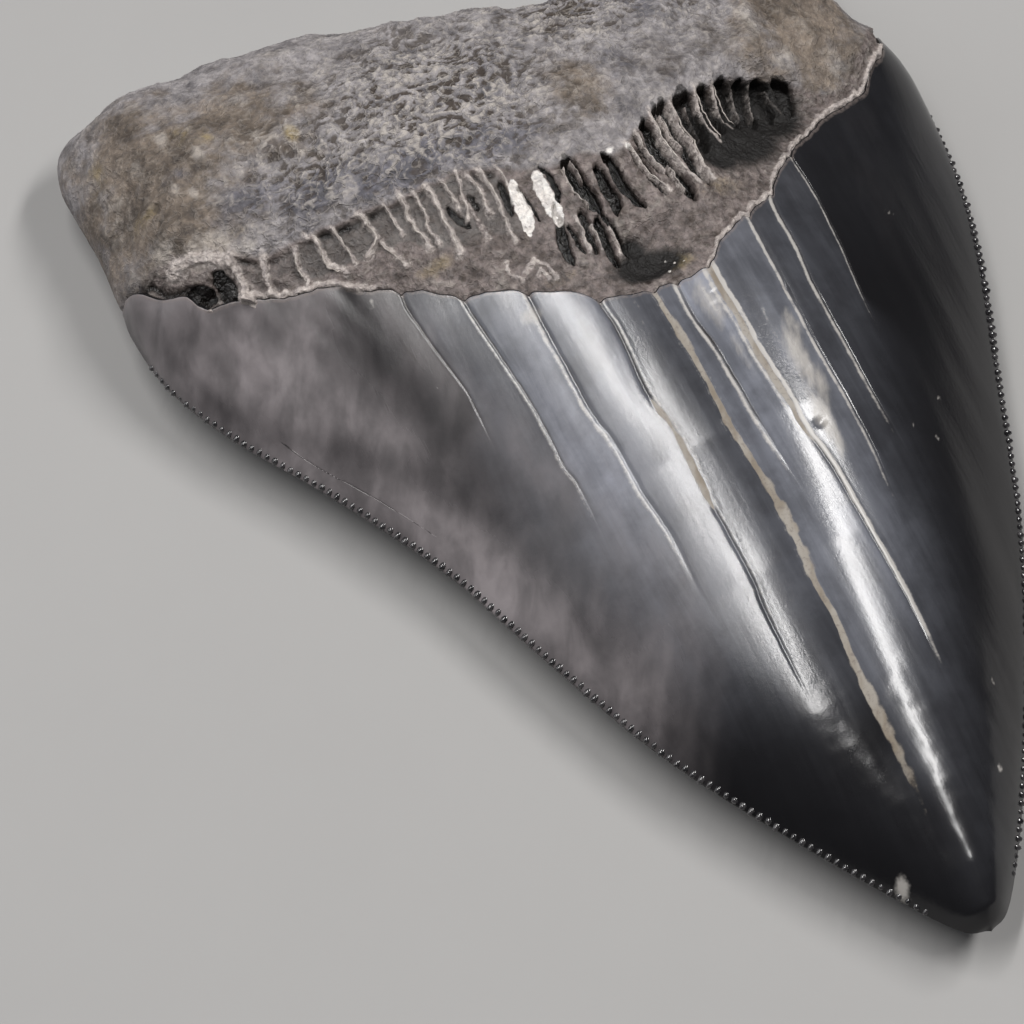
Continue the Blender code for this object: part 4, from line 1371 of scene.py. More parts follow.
@dataclass
class BandPatch:
    """Where the fine band mesh lies over the root shell."""

    left: float = -39.6
    right: float = 38.6
    above: float = 1.7
    below: float = 0.9
    narrowest: float = 2.2

    def low(self, x: Array) -> Array:
        """Lower side of the patch, under the enamel."""
        return FORM.enamel_y(x) - self.below

    def high(self, x: Array) -> Array:
        """Upper side of the patch, on the root."""
        return np.maximum(on_line(FORM.rib_tops, x) + self.above, self.low(x) + self.narrowest)

    def inside(self, x: Array, y: Array) -> Array:
        """Distance from the patch's border, above 0 inside it."""
        return np.minimum(np.minimum(self.high(x) - y, y - self.low(x) + 3.0),
                          np.minimum(x - self.left, self.right - x))


PATCH = BandPatch()


@dataclass
class RibbedBand:
    """Fine shell over the band between the enamel and the root."""

    columns: int = 880
    rows: int = 104
    thickness: float = 2.6

    def build(self, material: bpy.types.Material) -> bpy.types.Object:
        """Builds the band.

        Args:
            material: the root's finish.

        Returns:
            The finished object.
        """
        x_line = np.linspace(PATCH.left, PATCH.right, self.columns + 1)
        low, high = PATCH.low(x_line), PATCH.high(x_line)
        x = np.broadcast_to(x_line, (self.rows + 1, self.columns + 1))
        y = low + (high - low) * np.linspace(0, 1, self.rows + 1)[:, None]
        z = FORM.inner_height(x, y)
        index = np.arange(x.size).reshape(x.shape)
        shell = Shell(stack(x, y, z), sheet_faces(index, flip=False))
        rise, masks = SKIN.sample(x, y, z)
        rise = rise - 0.05 + 0.07 * ramp(PATCH.inside(x, y), 0.0, 1.0)
        shell.points = shell.points + shell.normals() * rise.ravel()[:, None]

        # A flat underside inside the tooth closes the shell.
        around = np.concatenate([index[0, :-1], index[:-1, -1], index[-1, :0:-1], index[:0:-1, 0]])
        deep = self.thickness * (1 + 0.7 * ramp(PATCH.right - np.abs(shell.points[around, 0]), 2.0, 10.0))
        ring = np.arange(len(around)) + len(shell.points)
        shell.points = np.vstack([shell.points, shell.points[around] - stack(0 * deep, 0 * deep, deep)])
        wall = np.stack([np.append(around, around[0]), np.append(ring, ring[0])])
        far_corner = self.columns + self.rows
        under_low = ring[:self.columns + 1]
        under_high = ring[far_corner:far_corner + self.columns + 1][::-1]
        left_side = np.append(ring[far_corner + self.columns:], ring[0])[::-1]
        right_side = ring[self.columns:far_corner + 1][::-1]
        shell.faces += sheet_faces(wall, flip=True)
        shell.faces += sheet_faces(np.stack([under_low, under_high]), flip=True)
        shell.faces += [tuple(side.tolist()) for side in (left_side, right_side)]
        shell.paint(masks)
        return shell.to_object("ribbed_band", material)


@dataclass
class Root:
    """The root's shell, from just under the enamel to its rounded end."""

    columns: int = 464
    outer_columns: int = 56
    hidden_rows: int = 12
    rows: int = 176
    sunk: float = 3.2
    hidden_depth: float = 0.9
    head_start: float = 0.25

    def places(self, root: float, count: int) -> Array:
        """Places of the columns across one row, closer together at the sides of the root.

        Args:
            root: how far the row is from the enamel, up to 1.
            count: number of columns.

        Returns:
            Places from -1 to 1.
        """
        plain = np.linspace(-1.0, 1.0, count + 1)
        share = 0.2 + 0.55 * root
        return (1 - share) * plain + share * np.sin(plain * np.pi / 2)

    def plan(self, outer: bool, count: int) -> tuple[Array, Array]:
        """Plan of every row of one face.

        Args:
            outer: whether it is the outer face.
            count: number of columns.

        Returns:
            Places across and along.
        """
        xs, ys = [], []
        for row in range(self.hidden_rows + self.rows + 1):
            early = min(row / self.hidden_rows, 1.0)
            late = math.sin(max(row - self.hidden_rows, 0) / self.rows * math.pi / 2)
            ends = self.head_start * early + (1 - self.head_start) * late
            left, right = along(FORM.left_root, ends), along(FORM.right_root, ends)
            place = self.places(min(1.0, 0.3 + early), count)
            x = left[0] + (right[0] - left[0]) * (place + 1) / 2
            straight = left[1] + (right[1] - left[1]) * (place + 1) / 2
            flat = 1 - np.abs(place) ** 8
            if outer:
                bent = on_line(FORM.outer_line, x) - 1.2 + 6.0 * early * (1 - late)
            else:
                start = on_line(FORM.enamel_line, x) - 1.4
                bent = start * (1 - early) + np.maximum(on_line(FORM.rib_tops, x) + 0.9, start + 1.2) * early
            top = on_line(FORM.top, x)
            at_top = straight + top - np.interp(place, (-1, 1), (top[0], top[-1]))
            ys.append((straight * (1 - flat) + bent * flat) * (1 - late) + at_top * late)
            xs.append(x)
        return np.array(xs), np.array(ys)

    def build(self, material: bpy.types.Material) -> bpy.types.Object:
        """Builds the root.

        Args:
            material: the root's finish.

        Returns:
            The finished object.
        """
        sides = TwoFaces(*self.plan(False, self.columns), *self.plan(True, self.outer_columns), -1)
        x, y, z, ox, oy, oz = sides.x, sides.y, sides.z, sides.outer_x, sides.outer_y, sides.outer_z
        sides.shell.faces += zipper_faces(sides.inner[0], sides.outer[0], x[0], ox[0], flip=True)
        rise, masks = SKIN.sample(x, y, z)
        rise = rise - (rise + self.sunk) * ramp(PATCH.inside(x, y), 1.0, 1.8)
        rise = rise - self.hidden_depth * ramp(FORM.enamel_y(x) - y, -0.6, 0.2)
        bare = ramp(oy - on_line(FORM.outer_line, ox), -0.6, 1.2)
        coarse = BROAD_GRAIN.layers(stack(ox / 3.0, oy / 3.0, oz), 3, 0.55).reshape(ox.shape)
        outer_rise = 0.25 * coarse - 0.55 * (1 - bare) + SKIN.lumps(ox, oy, oz)
        sides.raise_by(rise, outer_rise * FORM.calm_border(ox, oy))
        # On the outer face, relief drives the same painted shade and highlight over the lumps.
        outer_masks = {"pale": np.full(ox.shape, 0.25), "warm": np.full(ox.shape, 0.6),
                       "relief": unit(0.55 + 0.25 * coarse),
                       "brown": unit(0.9 * BROAD_GRAIN.over(ox, oy, 5.0, 2.0))}
        for name, values in outer_masks.items():
            masks[name] = np.concatenate([masks[name].ravel(), values.ravel()])
        sides.shell.drop_unused()
        sides.shell.paint(masks)
        return sides.shell.to_object("root_bone", material)


class NodeTree:
    """Short way to lay out the nodes of a material, a shader group or a shape-making tree."""

    def __init__(self, tree: bpy.types.NodeTree) -> None:
        """Takes the tree that the nodes go in."""
        self.tree = tree

    def add(self, kind: str, inputs: dict | None = None, **settings: object) -> bpy.types.Node:
        """Adds a node.

        Args:
            kind: Blender's name of the node's type.
            inputs: values or sockets for its inputs, by name or number.
            settings: the node's own settings.

        Returns:
            The node.
        """
        node = self.tree.nodes.new(kind)
        for name, value in settings.items():
            setattr(node, name, value)
        for name, value in (inputs or {}).items():
            self.plug(node.inputs[name], value)
        return node

    def plug(self, socket: Socket, value: object) -> None:
        """Links a socket to an output, or sets its value.

        Args:
            socket: the input.
            value: an output, or a value; a colour needs no alpha.
        """
        if isinstance(value, Socket):
            self.tree.links.new(value, socket)
        elif socket.type == "RGBA":
            socket.default_value = (*value[:3], 1.0)
        else:
            socket.default_value = value

    def sums(self, operation: str, *values: object) -> Socket:
        """Arithmetic on numbers.

        Args:
            operation: Blender's name of the operation.
            values: numbers or sockets.

        Returns:
            The result.
        """
        node = self.add("ShaderNodeMath", dict(enumerate(values)), operation=operation)
        return node.outputs[0]

    def times(self, one: object, other: object) -> Socket:
        """Product of two numbers."""
        return self.sums("MULTIPLY", one, other)

    def plus(self, *values: object) -> Socket:
        """Sum of several numbers."""
        return functools.reduce(lambda total, value: self.sums("ADD", total, value), values)

    def blend(self, share: object, one: object, other: object, kind: str = "MIX") -> Socket:
        """Mixes two colours.

        Args:
            share: how much of the second one shows.
            one: the first colour.
            other: the second colour.
            kind: Blender's name of the way to mix.

        Returns:
            The mixed colour.
        """
        node = self.add("ShaderNodeMix", data_type="RGBA", blend_type=kind, clamp_factor=True)
        sockets = {socket.identifier: socket for socket in (*node.inputs, *node.outputs)}
        for name, value in (("Factor_Float", share), ("A_Color", one), ("B_Color", other)):
            self.plug(sockets[name], value)
        return sockets["Result_Color"]

    def spread(self, value: object, low: float, high: float, to_low: float = 0.0,
               to_high: float = 1.0) -> Socket:
        """Maps a range of values smoothly to another.

        Args:
            value: the number to map.
            low: start of its range.
            high: end of its range.
            to_low: result at the start.
            to_high: result at the end.

        Returns:
            The mapped number.
        """
        ends = {"From Min": low, "From Max": high, "To Min": to_low, "To Max": to_high}
        node = self.add("ShaderNodeMapRange", {"Value": value, **ends}, interpolation_type="SMOOTHSTEP")
        return node.outputs["Result"]

    def mask(self, name: str) -> Socket:
        """A mask painted on the mesh."""
        return self.add("ShaderNodeAttribute", attribute_name=name, attribute_type="GEOMETRY").outputs["Fac"]

    def grain(self, place: object, scale: object, detail: float = 3.0, roughness: float = 0.55,
              distortion: float = 0.0) -> Socket:
        """Cloudy noise.

        Args:
            place: the places it is read at.
            scale: how fine it is.
            detail: number of finer layers.
            roughness: strength of the finer layers.
            distortion: how far it is bent.

        Returns:
            The noise, about 0.5 on average.
        """
        sizes = {"Scale": scale, "Detail": detail, "Roughness": roughness, "Distortion": distortion}
        return self.add("ShaderNodeTexNoise", {"Vector": place, **sizes}).outputs["Fac"]


def start_group(name: str, kind: str, inputs: dict[str, str],
                outputs: dict[str, str]) -> tuple[NodeTree, Sockets]:
    """Starts a node group with named inputs and outputs.

    Args:
        name: the group's name.
        kind: Blender's name of the kind of tree.
        inputs: kind of each named input.
        outputs: kind of each named output.

    Returns:
        The group's layout helper and the sockets of its inputs.
    """
    group = bpy.data.node_groups.new(name, kind)
    for way, sockets in (("INPUT", inputs), ("OUTPUT", outputs)):
        for label, socket_kind in sockets.items():
            group.interface.new_socket(label, in_out=way, socket_type="NodeSocket" + socket_kind)
    nodes = NodeTree(group)
    return nodes, nodes.add("NodeGroupInput").outputs


class SharedGroups:
    """Shader groups that several finishes place."""

    def __init__(self) -> None:
        """Builds both groups."""
        self.ragged = self.ragged_mask()
        self.mottle = self.mottled_tone()

    def ragged_mask(self) -> bpy.types.NodeTree:
        """Group that breaks up the border of a mask.

        Returns:
            The group, with inputs Mask, Place, Size and Break, and output Mask.
        """
        inputs = {"Mask": "Float", "Place": "Vector", "Size": "Float", "Break": "Float"}
        nodes, source = start_group("ragged_mask", "ShaderNodeTree", inputs, {"Mask": "Float"})
        cloud = nodes.grain(source["Place"], nodes.sums("DIVIDE", 1.0, source["Size"]), 4.0, 0.65)
        shift = nodes.times(nodes.sums("SUBTRACT", cloud, 0.5), source["Break"])
        shifted = nodes.plus(source["Mask"], nodes.times(shift, nodes.spread(source["Mask"], 0.0, 0.2)))
        nodes.add("NodeGroupOutput", {"Mask": nodes.spread(shifted, 0.18, 0.82)})
        return nodes.tree

    def mottled_tone(self) -> bpy.types.NodeTree:
        """Group of two tones in clouds with fine grain on them.

        Returns:
            The group, with inputs Place, Light, Dark, Size and Contrast, and outputs Color and Height.
        """
        inputs = {"Place": "Vector", "Light": "Color", "Dark": "Color", "Size": "Float", "Contrast": "Float"}
        outputs = {"Color": "Color", "Height": "Float"}
        nodes, source = start_group("mottled_tone", "ShaderNodeTree", inputs, outputs)
        cloud = nodes.grain(source["Place"], nodes.sums("DIVIDE", 1.0, source["Size"]), 7.0, 0.68)
        share = nodes.plus(nodes.times(nodes.sums("SUBTRACT", cloud, 0.5), source["Contrast"]), 0.5)
        nodes.add("NodeGroupOutput", {"Color": nodes.blend(share, source["Dark"], source["Light"]),
                                      "Height": cloud})
        return nodes.tree


class Paintwork(NodeTree):
    """Node tree of one material, where each coat is laid over the coats before it."""

    def __init__(self, name: str, groups: SharedGroups) -> None:
        """Makes the material, and the place in millimetres that its patterns read.

        Args:
            name: the material's name.
            groups: the shared shader groups.
        """
        self.material = bpy.data.materials.new(name)
        self.material.use_nodes = True
        super().__init__(self.material.node_tree)
        self.groups = groups
        self.shader = self.tree.nodes["Principled BSDF"]
        source, scale = self.add("ShaderNodeTexCoord").outputs["Object"], (1 / MILLIMETRE,) * 3
        self.place = self.add("ShaderNodeMapping", {"Vector": source, "Scale": scale}).outputs["Vector"]
        self.base: object = None

    def stretched(self, angle: float, times: float) -> Socket:
        """Place turned about Z and drawn out along its own Y."""
        turn, scale = (0.0, 0.0, angle), (1.0, times, times)
        return self.add("ShaderNodeMapping", {"Vector": self.place, "Rotation": turn, "Scale": scale},
                        vector_type="TEXTURE").outputs["Vector"]

    def broken(self, name: str, size: float, amount: float, place: Socket | None = None) -> Socket:
        """A painted mask with a broken border.

        Args:
            name: the mask's name.
            size: size of the bites, in millimetres.
            amount: how far they go.
            place: places to read, where not the plain ones.

        Returns:
            The mask.
        """
        inputs = {"Mask": self.mask(name), "Place": place or self.place, "Size": size, "Break": amount}
        return self.add("ShaderNodeGroup", inputs, node_tree=self.groups.ragged).outputs["Mask"]

    def mottled(self, light: Colour, dark: Colour, size: float, contrast: float) -> Sockets:
        """Two tones in clouds.

        Args:
            light: the lighter tone.
            dark: the darker tone.
            size: size of the clouds, in millimetres.
            contrast: how sharply they part.

        Returns:
            The outputs Color and Height.
        """
        inputs = {"Place": self.place, "Light": light, "Dark": dark, "Size": size, "Contrast": contrast}
        return self.add("ShaderNodeGroup", inputs, node_tree=self.groups.mottle).outputs

    def lay(self, share: Socket, colour: object, strength: float = 1.0) -> None:
        """Lays a coat over what is there.

        Args:
            share: where the coat is.
            colour: a colour, or the outputs of a mottled tone.
            strength: how well it covers.
        """
        if strength < 1.0:
            share = self.times(share, strength)
        colour = colour["Color"] if isinstance(colour, Sockets) else colour
        self.base = self.blend(share, self.base, colour)

    def close(self, roughness: object, height: Socket | None = None, bump: tuple[float, float] = (0.0, 0.0),
              **sockets: float) -> bpy.types.Material:
        """Plugs colour, roughness and relief into the shader.

        Args:
            roughness: a number or a socket.
            height: the fine relief, if there is any.
            bump: strength and depth of the relief.
            sockets: values of the shader's other sockets, with underscores for spaces.

        Returns:
            The finished material.
        """
        inputs = self.shader.inputs
        self.plug(inputs["Base Color"], self.base)
        self.plug(inputs["Roughness"], roughness)
        if height is not None:
            relief = self.add("ShaderNodeBump", {"Strength": bump[0], "Distance": bump[1], "Height": height})
            self.plug(inputs["Normal"], relief.outputs["Normal"])
        for name, value in sockets.items():
            inputs[name.replace("_", " ")].default_value = value
        return self.material


@dataclass(frozen=True)
class EnamelFinish:
    """Polished fossil enamel: black, cool grey plates that are part stain and part painted reflection, a
    purple-grey flank of stain and painted sheen, pale haze with painted highlight, pale crack lips and clay.
    """

    black: Colour = (0.0075, 0.0072, 0.0080)
    # Grey of the plates, part stain and part painted reflection.
    cool: Colour = (0.215, 0.225, 0.262)
    mauve_stain_and_sheen: Colour = (0.205, 0.185, 0.190)
    lip: Colour = (0.42, 0.40, 0.375)
    clay: Colour = (0.265, 0.24, 0.205)
    clay_stain: Colour = (0.165, 0.132, 0.092)
    clay_grit: Colour = (0.13, 0.105, 0.085)
    collar: Colour = (0.20, 0.165, 0.15)
    groove: Colour = (0.020, 0.016, 0.012)
    cream_and_highlight: Colour = (0.44, 0.41, 0.37)
    growth_slant: float = -0.41

    def make(self, groups: SharedGroups) -> bpy.types.Material:
        """Builds the material.

        Args:
            groups: the shared shader groups.

        Returns:
            The material.
        """
        paint = Paintwork("polished_enamel", groups)
        streaks = paint.grain(paint.stretched(0.04, 12.0), 0.7, 4.0, 0.6, 0.2)
        clouds = paint.grain(paint.place, 0.22, 5.0, 0.6)
        mottle = paint.grain(paint.stretched(self.growth_slant, 2.2), 0.42, 3.0, 0.55, 0.3)
        grit = paint.grain(paint.place, 2.4, 4.0, 0.7)
        flank = paint.times(paint.mask("tone"), paint.spread(mottle, 0.30, 0.70, 0.66, 1.22))
        plate = paint.times(paint.mask("plate"), paint.spread(streaks, 0.30, 0.70, 0.78, 1.18))
        cream_and_highlight = paint.broken("cream_and_highlight", 1.6, 1.2, paint.stretched(self.growth_slant, 3.0))
        lip, clay = paint.broken("lip", 0.45, 0.75), paint.broken("clay", 0.9, 0.8)

        paint.base = self.black
        # Cool grey plates: part stain, part painted reflection of the softboxes.
        paint.lay(paint.times(plate, paint.spread(clouds, 0.35, 0.65, 0.75, 1.15)), self.cool)
        # Flank: part stain, part painted sheen.
        paint.lay(paint.times(flank, paint.spread(clouds, 0.3, 0.7, 0.85, 1.12)), self.mauve_stain_and_sheen)
        # Pale haze, partly painted highlight.
        paint.lay(cream_and_highlight, self.cream_and_highlight, 0.6)
        paint.lay(lip, self.lip, 0.80)
        paint.lay(paint.mask("groove"), self.groove, 0.95)
        clay_tone = paint.blend(paint.spread(mottle, 0.36, 0.60), self.clay_stain, self.clay)
        clay_tone = paint.blend(paint.spread(grit, 0.30, 0.50, 0.75, 0.0), clay_tone, self.clay_grit)
        paint.lay(clay, clay_tone, 0.88)
        collar = paint.times(paint.spread(paint.mask("collar"), 0.3, 1.0), paint.spread(grit, 0.3, 0.6))
        paint.lay(collar, self.collar, 0.45)
        specks = paint.times(paint.spread(grit, 0.34, 0.27), paint.spread(cream_and_highlight, 0.1, 0.6, 0.0, 0.8))
        paint.lay(specks, self.groove)

        coats = ((lip, 0.14), (clay, 0.30), (cream_and_highlight, 0.10), (paint.mask("tone"), 0.26))
        rough = paint.spread(streaks, 0.3, 0.7, 0.15, 0.20)
        rough = paint.plus(rough, *(paint.times(*coat) for coat in coats))
        height = paint.plus(paint.times(grit, 0.4), paint.times(streaks, 0.8))
        return paint.close(rough, height, (0.10, 0.0002), IOR=1.45)


@dataclass(frozen=True)
class RootFinish:
    """Matt fossil bone: grey and tan mottle, slate zones, stains, wrinkles with painted shade and highlight,
    pale walls with partly painted highlight on their tops, and black cells with painted shadow in some
    corners.
    """

    tan: Colour = (0.235, 0.190, 0.152)
    tan_dark: Colour = (0.048, 0.038, 0.031)
    grey: Colour = (0.35, 0.328, 0.328)
    grey_dark: Colour = (0.095, 0.088, 0.092)
    slate: Colour = (0.150, 0.146, 0.172)
    slate_dark: Colour = (0.030, 0.030, 0.038)
    ochre: Colour = (0.26, 0.200, 0.092)
    brown: Colour = (0.040, 0.029, 0.021)
    pale: Colour = (0.42, 0.383, 0.345)
    wall: Colour = (0.68, 0.62, 0.575)
    crust: Colour = (0.205, 0.170, 0.160)
    crust_dark: Colour = (0.045, 0.034, 0.029)
    floor: Colour = (0.155, 0.145, 0.138)
    hollow: Colour = (0.020, 0.015, 0.011)
    chalk: Colour = (0.72, 0.71, 0.68)
    pit: Colour = (0.005, 0.004, 0.0035)
    salt_shade: Colour = (0.70, 0.70, 0.72)

    def make(self, groups: SharedGroups) -> bpy.types.Material:
        """Builds the material.

        Args:
            groups: the shared shader groups.

        Returns:
            The material.
        """
        paint = Paintwork("weathered_root", groups)
        paint.base = paint.mottled(self.grey, self.grey_dark, 2.2, 3.2)["Color"]
        paint.lay(paint.broken("warm", 3.0, 1.6), paint.mottled(self.tan, self.tan_dark, 3.4, 3.0))
        paint.lay(paint.broken("slate", 2.4, 1.3), paint.mottled(self.slate, self.slate_dark, 1.6, 3.2), 0.85)
        paint.lay(paint.mask("band"), paint.mottled(self.crust, self.crust_dark, 1.1, 3.4))
        paint.lay(paint.broken("ochre", 1.1, 1.0), self.ochre, 0.75)
        paint.lay(paint.broken("pale", 1.2, 1.2), self.pale, 0.6)
        paint.lay(paint.broken("brown", 1.6, 1.2), self.brown, 0.7)

        # Wrinkles: those of the mesh, and finer ones between them, with painted shade in their valleys and
        # painted highlight on their crests.
        waves = paint.grain(paint.place, 0.85, 2.0, 0.5, 0.3)
        vein = paint.spread(paint.sums("ABSOLUTE", paint.sums("SUBTRACT", waves, 0.5)), 0.0, 0.06, 1.0, 0.0)
        relief, lively = paint.mask("relief"), paint.mask("lively")
        for wrinkle, (calm, wild), colour in ((paint.spread(relief, 0.46, 0.16), (0.40, 0.92), self.brown),
                                              (paint.spread(relief, 0.54, 0.92), (0.30, 0.75), self.pale),
                                              (vein, (0.10, 0.35), self.pale)):
            paint.lay(paint.times(wrinkle, paint.spread(lively, 0.1, 0.9, calm, wild)), colour)

        # Band: floors of the grey cells, smooth brown hollows, walls, black slits and chalk.
        dark, chalk = paint.broken("dark", 0.5, 0.4), paint.broken("plate", 0.7, 1.3)
        paint.lay(paint.mask("floor"), paint.mottled(self.floor, self.crust_dark, 1.2, 2.2), 0.85)
        paint.lay(paint.broken("hollow", 1.2, 0.5), paint.mottled(self.hollow, self.pit, 1.5, 2.0))
        # Pale tops of the walls: part chalk, part painted highlight.
        paint.lay(paint.broken("crest", 0.35, 0.9), paint.mottled(self.wall, self.crust, 0.7, 2.4), 0.82)
        paint.lay(dark, self.pit)
        paint.lay(chalk, paint.mottled(self.chalk, self.wall, 1.1, 2.2))
        salt = paint.grain(paint.place, 1.8, 4.0, 0.62)
        shaded = paint.blend(1.0, paint.base, self.salt_shade, "MULTIPLY")
        paint.base = paint.blend(paint.spread(salt, 0.33, 0.62), shaded, paint.base)

        coats = ((dark, 0.36), (chalk, 0.30), (paint.mask("band"), 0.16))
        shine = paint.plus(*(paint.times(*coat) for coat in coats))
        shine = paint.times(shine, paint.spread(paint.mask("hollow"), 0.1, 0.6, 1.0, 0.1))
        rough = paint.sums("SUBTRACT", paint.spread(salt, 0.3, 0.7, 0.58, 0.8), shine)
        grit = paint.grain(paint.place, 2.6, 4.0, 0.62)
        height = paint.plus(grit, paint.times(vein, paint.spread(lively, 0.1, 0.9, 0.3, 0.8)))
        return paint.close(rough, height, (0.75, 0.00025), Specular_IOR_Level=0.35)


@dataclass(frozen=True)
class MottledFinish:
    """A simple finish of two tones in clouds."""

    name: str
    light: Colour
    dark: Colour
    size: float
    contrast: float
    smooth: float
    rough: float
    bump: tuple[float, float] | None = None
    coat: float = 0.0
    coat_roughness: float = 0.03

    def make(self, groups: SharedGroups) -> bpy.types.Material:
        """Builds the material.

        Args:
            groups: the shared shader groups.

        Returns:
            The material.
        """
        paint = Paintwork(self.name, groups)
        tone = paint.mottled(self.light, self.dark, self.size, self.contrast)
        paint.base = tone["Color"]
        even = self.smooth == self.rough
        rough = self.rough if even else paint.spread(tone["Height"], 0.3, 0.7, self.smooth, self.rough)
        return paint.close(rough, tone["Height"] if self.bump else None, self.bump, Coat_Weight=self.coat,
                           Coat_Roughness=self.coat_roughness)


# Pale crest finish: part chalk, part painted highlight on the ribs' tops.
CHALKY_CREST = MottledFinish("rib_crest", (0.46, 0.42, 0.385), (0.17, 0.145, 0.13), 0.8, 3.6, 0.35, 0.6,
                             (0.5, 0.0001))
GLOSSY_BEAD = MottledFinish("edge_bead", (0.050, 0.047, 0.049), (0.007, 0.007, 0.008), 1.2, 3.0, 0.12, 0.26,
                            coat=0.5, coat_roughness=0.05)
PALE_FLOOR = MottledFinish("pale_floor", (0.315, 0.311, 0.307), (0.295, 0.291, 0.287), 60.0, 1.5, 0.85, 0.85)


@dataclass
class GrownPiece:
    """A piece that Geometry Nodes make along guide lines."""

    name: str

    def finish_tree(self, nodes: NodeTree, shape: Socket, material: bpy.types.Material) -> bpy.types.NodeTree:
        """Ends a tree: makes its instances real and sets its finish.

        Args:
            nodes: the tree.
            shape: what it has made.
            material: the finish.

        Returns:
            The finished tree.
        """
        real = nodes.add("GeometryNodeRealizeInstances", {"Geometry": shape}).outputs[0]
        dressed = nodes.add("GeometryNodeSetMaterial", {"Geometry": real, "Material": material}).outputs[0]
        nodes.add("NodeGroupOutput", {"Mesh": dressed})
        return nodes.tree

    def grow(self, lines: list[Array], girths: list[Array], tree: bpy.types.NodeTree,
             values: dict[str, object], material: bpy.types.Material) -> bpy.types.Object:
        """Runs a tree over guide lines and keeps the result as a plain mesh.

        Args:
            lines: points of each guide line, in millimetres.
            girths: one number for each point.
            tree: the tree.
            values: values of its named inputs.
            material: the finish that the tree sets.

        Returns:
            The new piece.
        """
        starts = np.cumsum([0] + [len(line) for line in lines]).tolist()
        edges = [(step, step + 1) for start, end in zip(starts, starts[1:]) for step in range(start, end - 1)]
        guide = new_object(self.name + "_guide", np.vstack(lines), edges, [],
                           {"girth": np.concatenate(girths).astype(np.float32) * MILLIMETRE})
        modifier = guide.modifiers.new(tree.name, "NODES")
        modifier.node_group = tree
        for item in tree.interface.items_tree:
            if item.in_out == "INPUT" and item.name in values:
                modifier[item.identifier] = values[item.name]
        bpy.context.view_layer.update()
        evaluated = guide.evaluated_get(bpy.context.evaluated_depsgraph_get())
        mesh = bpy.data.meshes.new_from_object(evaluated)
        mesh.name = self.name
        guide.modifiers.remove(modifier)
        bpy.data.objects.remove(guide)
        mesh.materials.clear()
        mesh.materials.append(material)
        mesh.shade_smooth()
        piece = bpy.data.objects.new(self.name, mesh)
        bpy.context.scene.collection.objects.link(piece)
        log.info("%s: %d faces", self.name, len(mesh.polygons))
        return piece


@dataclass
class EdgeBeads(GrownPiece):
    """The serrations: a row of small rounded beads set in both cutting edges."""

    name: str = "serration_beads"
    pitch: float = 0.87
    across: float = 0.36
    inward: float = 0.60
    thick: float = 0.38
    set_in: float = 0.42
    height: float = 0.24
    stretch: tuple[float, float] = (0.06, 0.93)
    smallest: tuple[float, float, float] = (0.78, 0.75, 0.85)
    largest: tuple[float, float, float] = (1.12, 1.20, 1.12)
    seed: int = 5

    def tree(self, material: bpy.types.Material) -> bpy.types.NodeTree:
        """Tree that sets a bead at each pitch along the guide lines.

        Args:
            material: the beads' finish.

        Returns:
            The tree, with inputs Guide, Pitch, Bead and Seed.
        """
        inputs = {"Guide": "Geometry", "Pitch": "Float", "Bead": "Vector", "Seed": "Int"}
        nodes, source = start_group(self.name, "GeometryNodeTree", inputs, {"Mesh": "Geometry"})
        curve = nodes.add("GeometryNodeMeshToCurve", {"Mesh": source["Guide"]}).outputs[0]
        curve = nodes.add("GeometryNodeResampleCurve", {"Curve": curve, "Length": source["Pitch"]},
                          mode="LENGTH").outputs[0]
        tangent = nodes.add("GeometryNodeInputTangent").outputs[0]
        turn = nodes.add("FunctionNodeAlignRotationToVector", {"Vector": tangent}, axis="X").outputs[0]
        bead = nodes.add("GeometryNodeMeshIcoSphere", {"Radius": 1.0, "Subdivisions": 2}).outputs[0]
        limits = {0: self.smallest, 1: self.largest, "Seed": source["Seed"]}
        vary = nodes.add("FunctionNodeRandomValue", limits, data_type="FLOAT_VECTOR").outputs[0]
        size = nodes.add("ShaderNodeVectorMath", {0: source["Bead"], 1: vary},
                         operation="MULTIPLY").outputs[0]
        row = {"Points": curve, "Instance": bead, "Rotation": turn, "Scale": size}
        return self.finish_tree(nodes, nodes.add("GeometryNodeInstanceOnPoints", row).outputs[0], material)

    def edge_line(self, side: Array, inward_x: float) -> Array:
        """A stretch of a cutting edge moved a little inwards, at the height of the edge.

        Args:
            side: the edge's points.
            inward_x: which way along X the tooth lies.

        Returns:
            The line's points.
        """
        plan = along(side, np.linspace(*self.stretch, 260))
        run = np.gradient(plan, axis=0)
        run /= np.linalg.norm(run, axis=1, keepdims=True)
        inward = np.stack([run[:, 1], -run[:, 0]], axis=1)
        inward *= np.sign(inward[:, :1] * inward_x)
        plan = plan + inward * self.set_in
        return np.column_stack([plan, np.full(len(plan), self.height)])

    def build(self, material: bpy.types.Material) -> bpy.types.Object:
        """Builds the beads of both edges.

        Args:
            material: their finish.

        Returns:
            The finished object.
        """
        lines = [self.edge_line(FORM.left_crown, 1.0), self.edge_line(FORM.right_crown, -1.0)]
        bead = tuple(size * MILLIMETRE for size in (self.across, self.inward, self.thick))
        return self.grow(lines, [np.ones(len(line)) for line in lines], self.tree(material),
                         {"Pitch": self.pitch * MILLIMETRE, "Bead": bead, "Seed": self.seed}, material)


